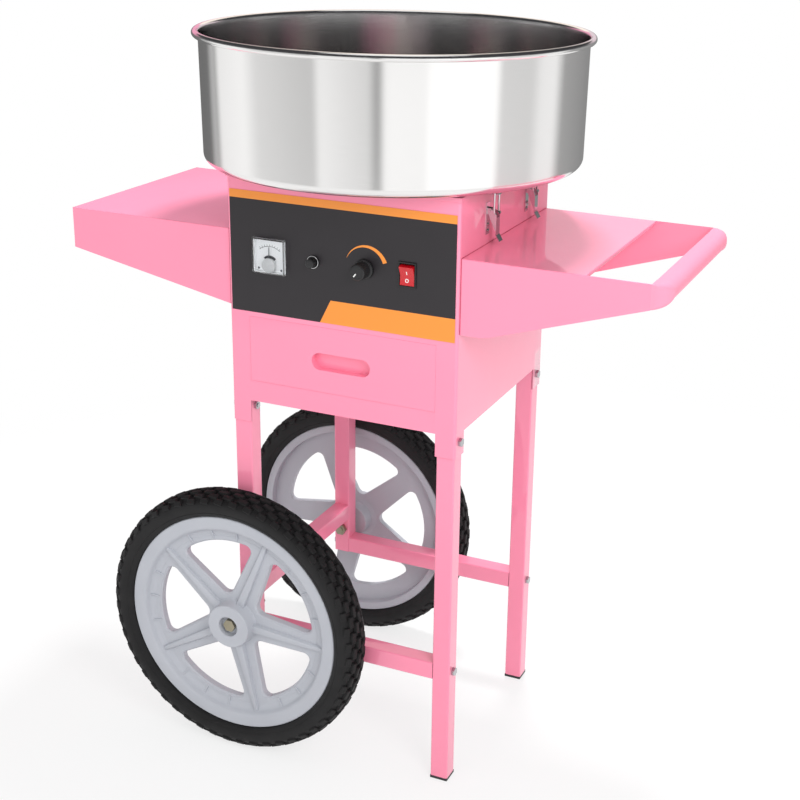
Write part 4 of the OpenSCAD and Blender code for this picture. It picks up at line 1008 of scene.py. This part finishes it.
def looked_at(tree):
    """1 on a ray that shows something, to the camera or in a reflection or glass."""
    ray = tree.nodes.new("ShaderNodeLightPath")
    kinds = ("Is Camera Ray", "Is Glossy Ray", "Is Transmission Ray")
    shown = sum((Wire(tree, ray.outputs[kind]) for kind in kinds), 0)
    return shown.math("MINIMUM", shown, 1.0)


white = (1, 1, 1, 1)
work = bmesh.new()
bmesh.ops.create_grid(work, x_segments=1, y_segments=1, size=30,
                      matrix=Matrix.Translation((0, 0, -0.0004)))
floor = staged("floor", work)
pale, place, _ = coat_of("pale_floor", Roughness=0.9, Specular_IOR_Level=0.1,
                         Base_Color=(0.9, 0.9, 0.9, 1))
floor.data.materials.append(pale)
tree = pale.node_tree
distance = place.node("ShaderNodeVectorMath", {"operation": "LENGTH"}, {0: place}, "Value")
whiter = place.math("MAXIMUM", distance.over(1.0, 0.9), 0.75 * looked_at(tree))
plain = place.node("ShaderNodeEmission", {}, {"Color": white, "Strength": 1.0})
lit = Wire(tree, tree.nodes["Principled BSDF"].outputs[0])
mix = place.node("ShaderNodeMixShader", {}, {0: whiter, 1: lit, 2: plain})
tree.links.new(mix.socket, tree.nodes["Material Output"].inputs["Surface"])
world = bpy.data.worlds.new("studio")
scene.world = world
world.use_nodes = True
tree = world.node_tree
level = 0.7 + 0.3 * looked_at(tree)
tree.nodes["Background"].inputs["Color"].default_value = white
tree.links.new(level.socket, tree.nodes["Background"].inputs["Strength"])

# Cards: a ring of tall studio cards round the cart, white to dark grey, which
# only polished surfaces show. The shelves mirror the middle tier, pink at the
# back left, and the bowl's inside mirrors the upper one, dark but at the back.
ring_r, ring_height, shelf_tier, bowl_tier = 2.1, 6, 1.1, 1.47
work = bmesh.new()
bmesh.ops.create_cone(work, cap_ends=False, segments=96, radius1=ring_r, radius2=ring_r,
                      depth=ring_height, matrix=Matrix.Translation((0, 0, ring_height / 2)))
cards = staged("cards", work)
cards.data.shade_smooth()
cards.visible_camera = cards.visible_diffuse = False
cards.visible_shadow = cards.visible_transmission = False
studio, place, _ = coat_of("studio_cards")
cards.data.materials.append(studio)
facing = math.radians(25)
x, y, z = (place.axis(n) for n in "XYZ")
ahead = x * math.sin(facing) - y * math.cos(facing)
aside = x * math.cos(facing) + y * math.sin(facing)
azimuth = place.math("ARCTAN2", aside, ahead)
# Degrees round from the facing direction, and the grey there
shades = [(-180, 120), (-158, 96), (-132, 104), (-128, 150), (-124, 172), (-121, 150), (-116, 222),
          (-92, 232), (-81, 206), (-45, 186), (-41, 228), (-14, 204), (-10, 150), (-8.5, 150),
          (-5, 238), (16, 236), (19, 250), (57, 250), (60, 202), (81, 198), (89, 222), (101, 225),
          (110, 150), (148, 126), (180, 120)]
stops = [((a + 180) / 360, colour(v, v, v)) for a, v in shades]
row = place.node("ShaderNodeValToRGB", {"stops": stops}, {0: azimuth / math.tau + 0.5})
behind = azimuth.over(0.0, 0.2).between(colour(220, 150, 176), colour(204, 188, 194))
shelf_row = abs(azimuth).over(2.45, 0.3).between(colour(86, 86, 88), behind)
bowl_row = abs(azimuth).over(2.8, 0.3).between(colour(56, 56, 58), colour(240, 230, 220))
lower = z.over(shelf_tier, 0.1).between(row, shelf_row)
tone = z.over(bowl_tier, 0.06).between(lower, bowl_row)
glow = place.node("ShaderNodeEmission", {}, {"Color": tone, "Strength": 1.32})
tree = studio.node_tree
tree.links.new(glow.socket, tree.nodes["Material Output"].inputs["Surface"])

# Lamps: one high over the cart and a little behind it, which throws the bowl's
# soft shadow on the shelves, and two large ones in front.
aim = Vector((0, 0, 0.6))
for name, at, size, watts in (("front", (-0.3, -2.8, 1.0), 1.8, 10),
                              ("near_right", (1.2, -1.1, 1.5), 0.7, 14),
                              ("above", (-0.05, 0.62, 2.5), 0.32, 38)):
    lamp = bpy.data.objects.new(name, bpy.data.lights.new(name, "AREA"))
    lamp.data.size, lamp.data.energy = size, watts
    lamp.location = at
    lamp.rotation_euler = (aim - Vector(at)).to_track_quat("-Z", "Y").to_euler()
    lamp.visible_glossy = lamp.visible_camera = False
    scene.collection.objects.link(lamp)
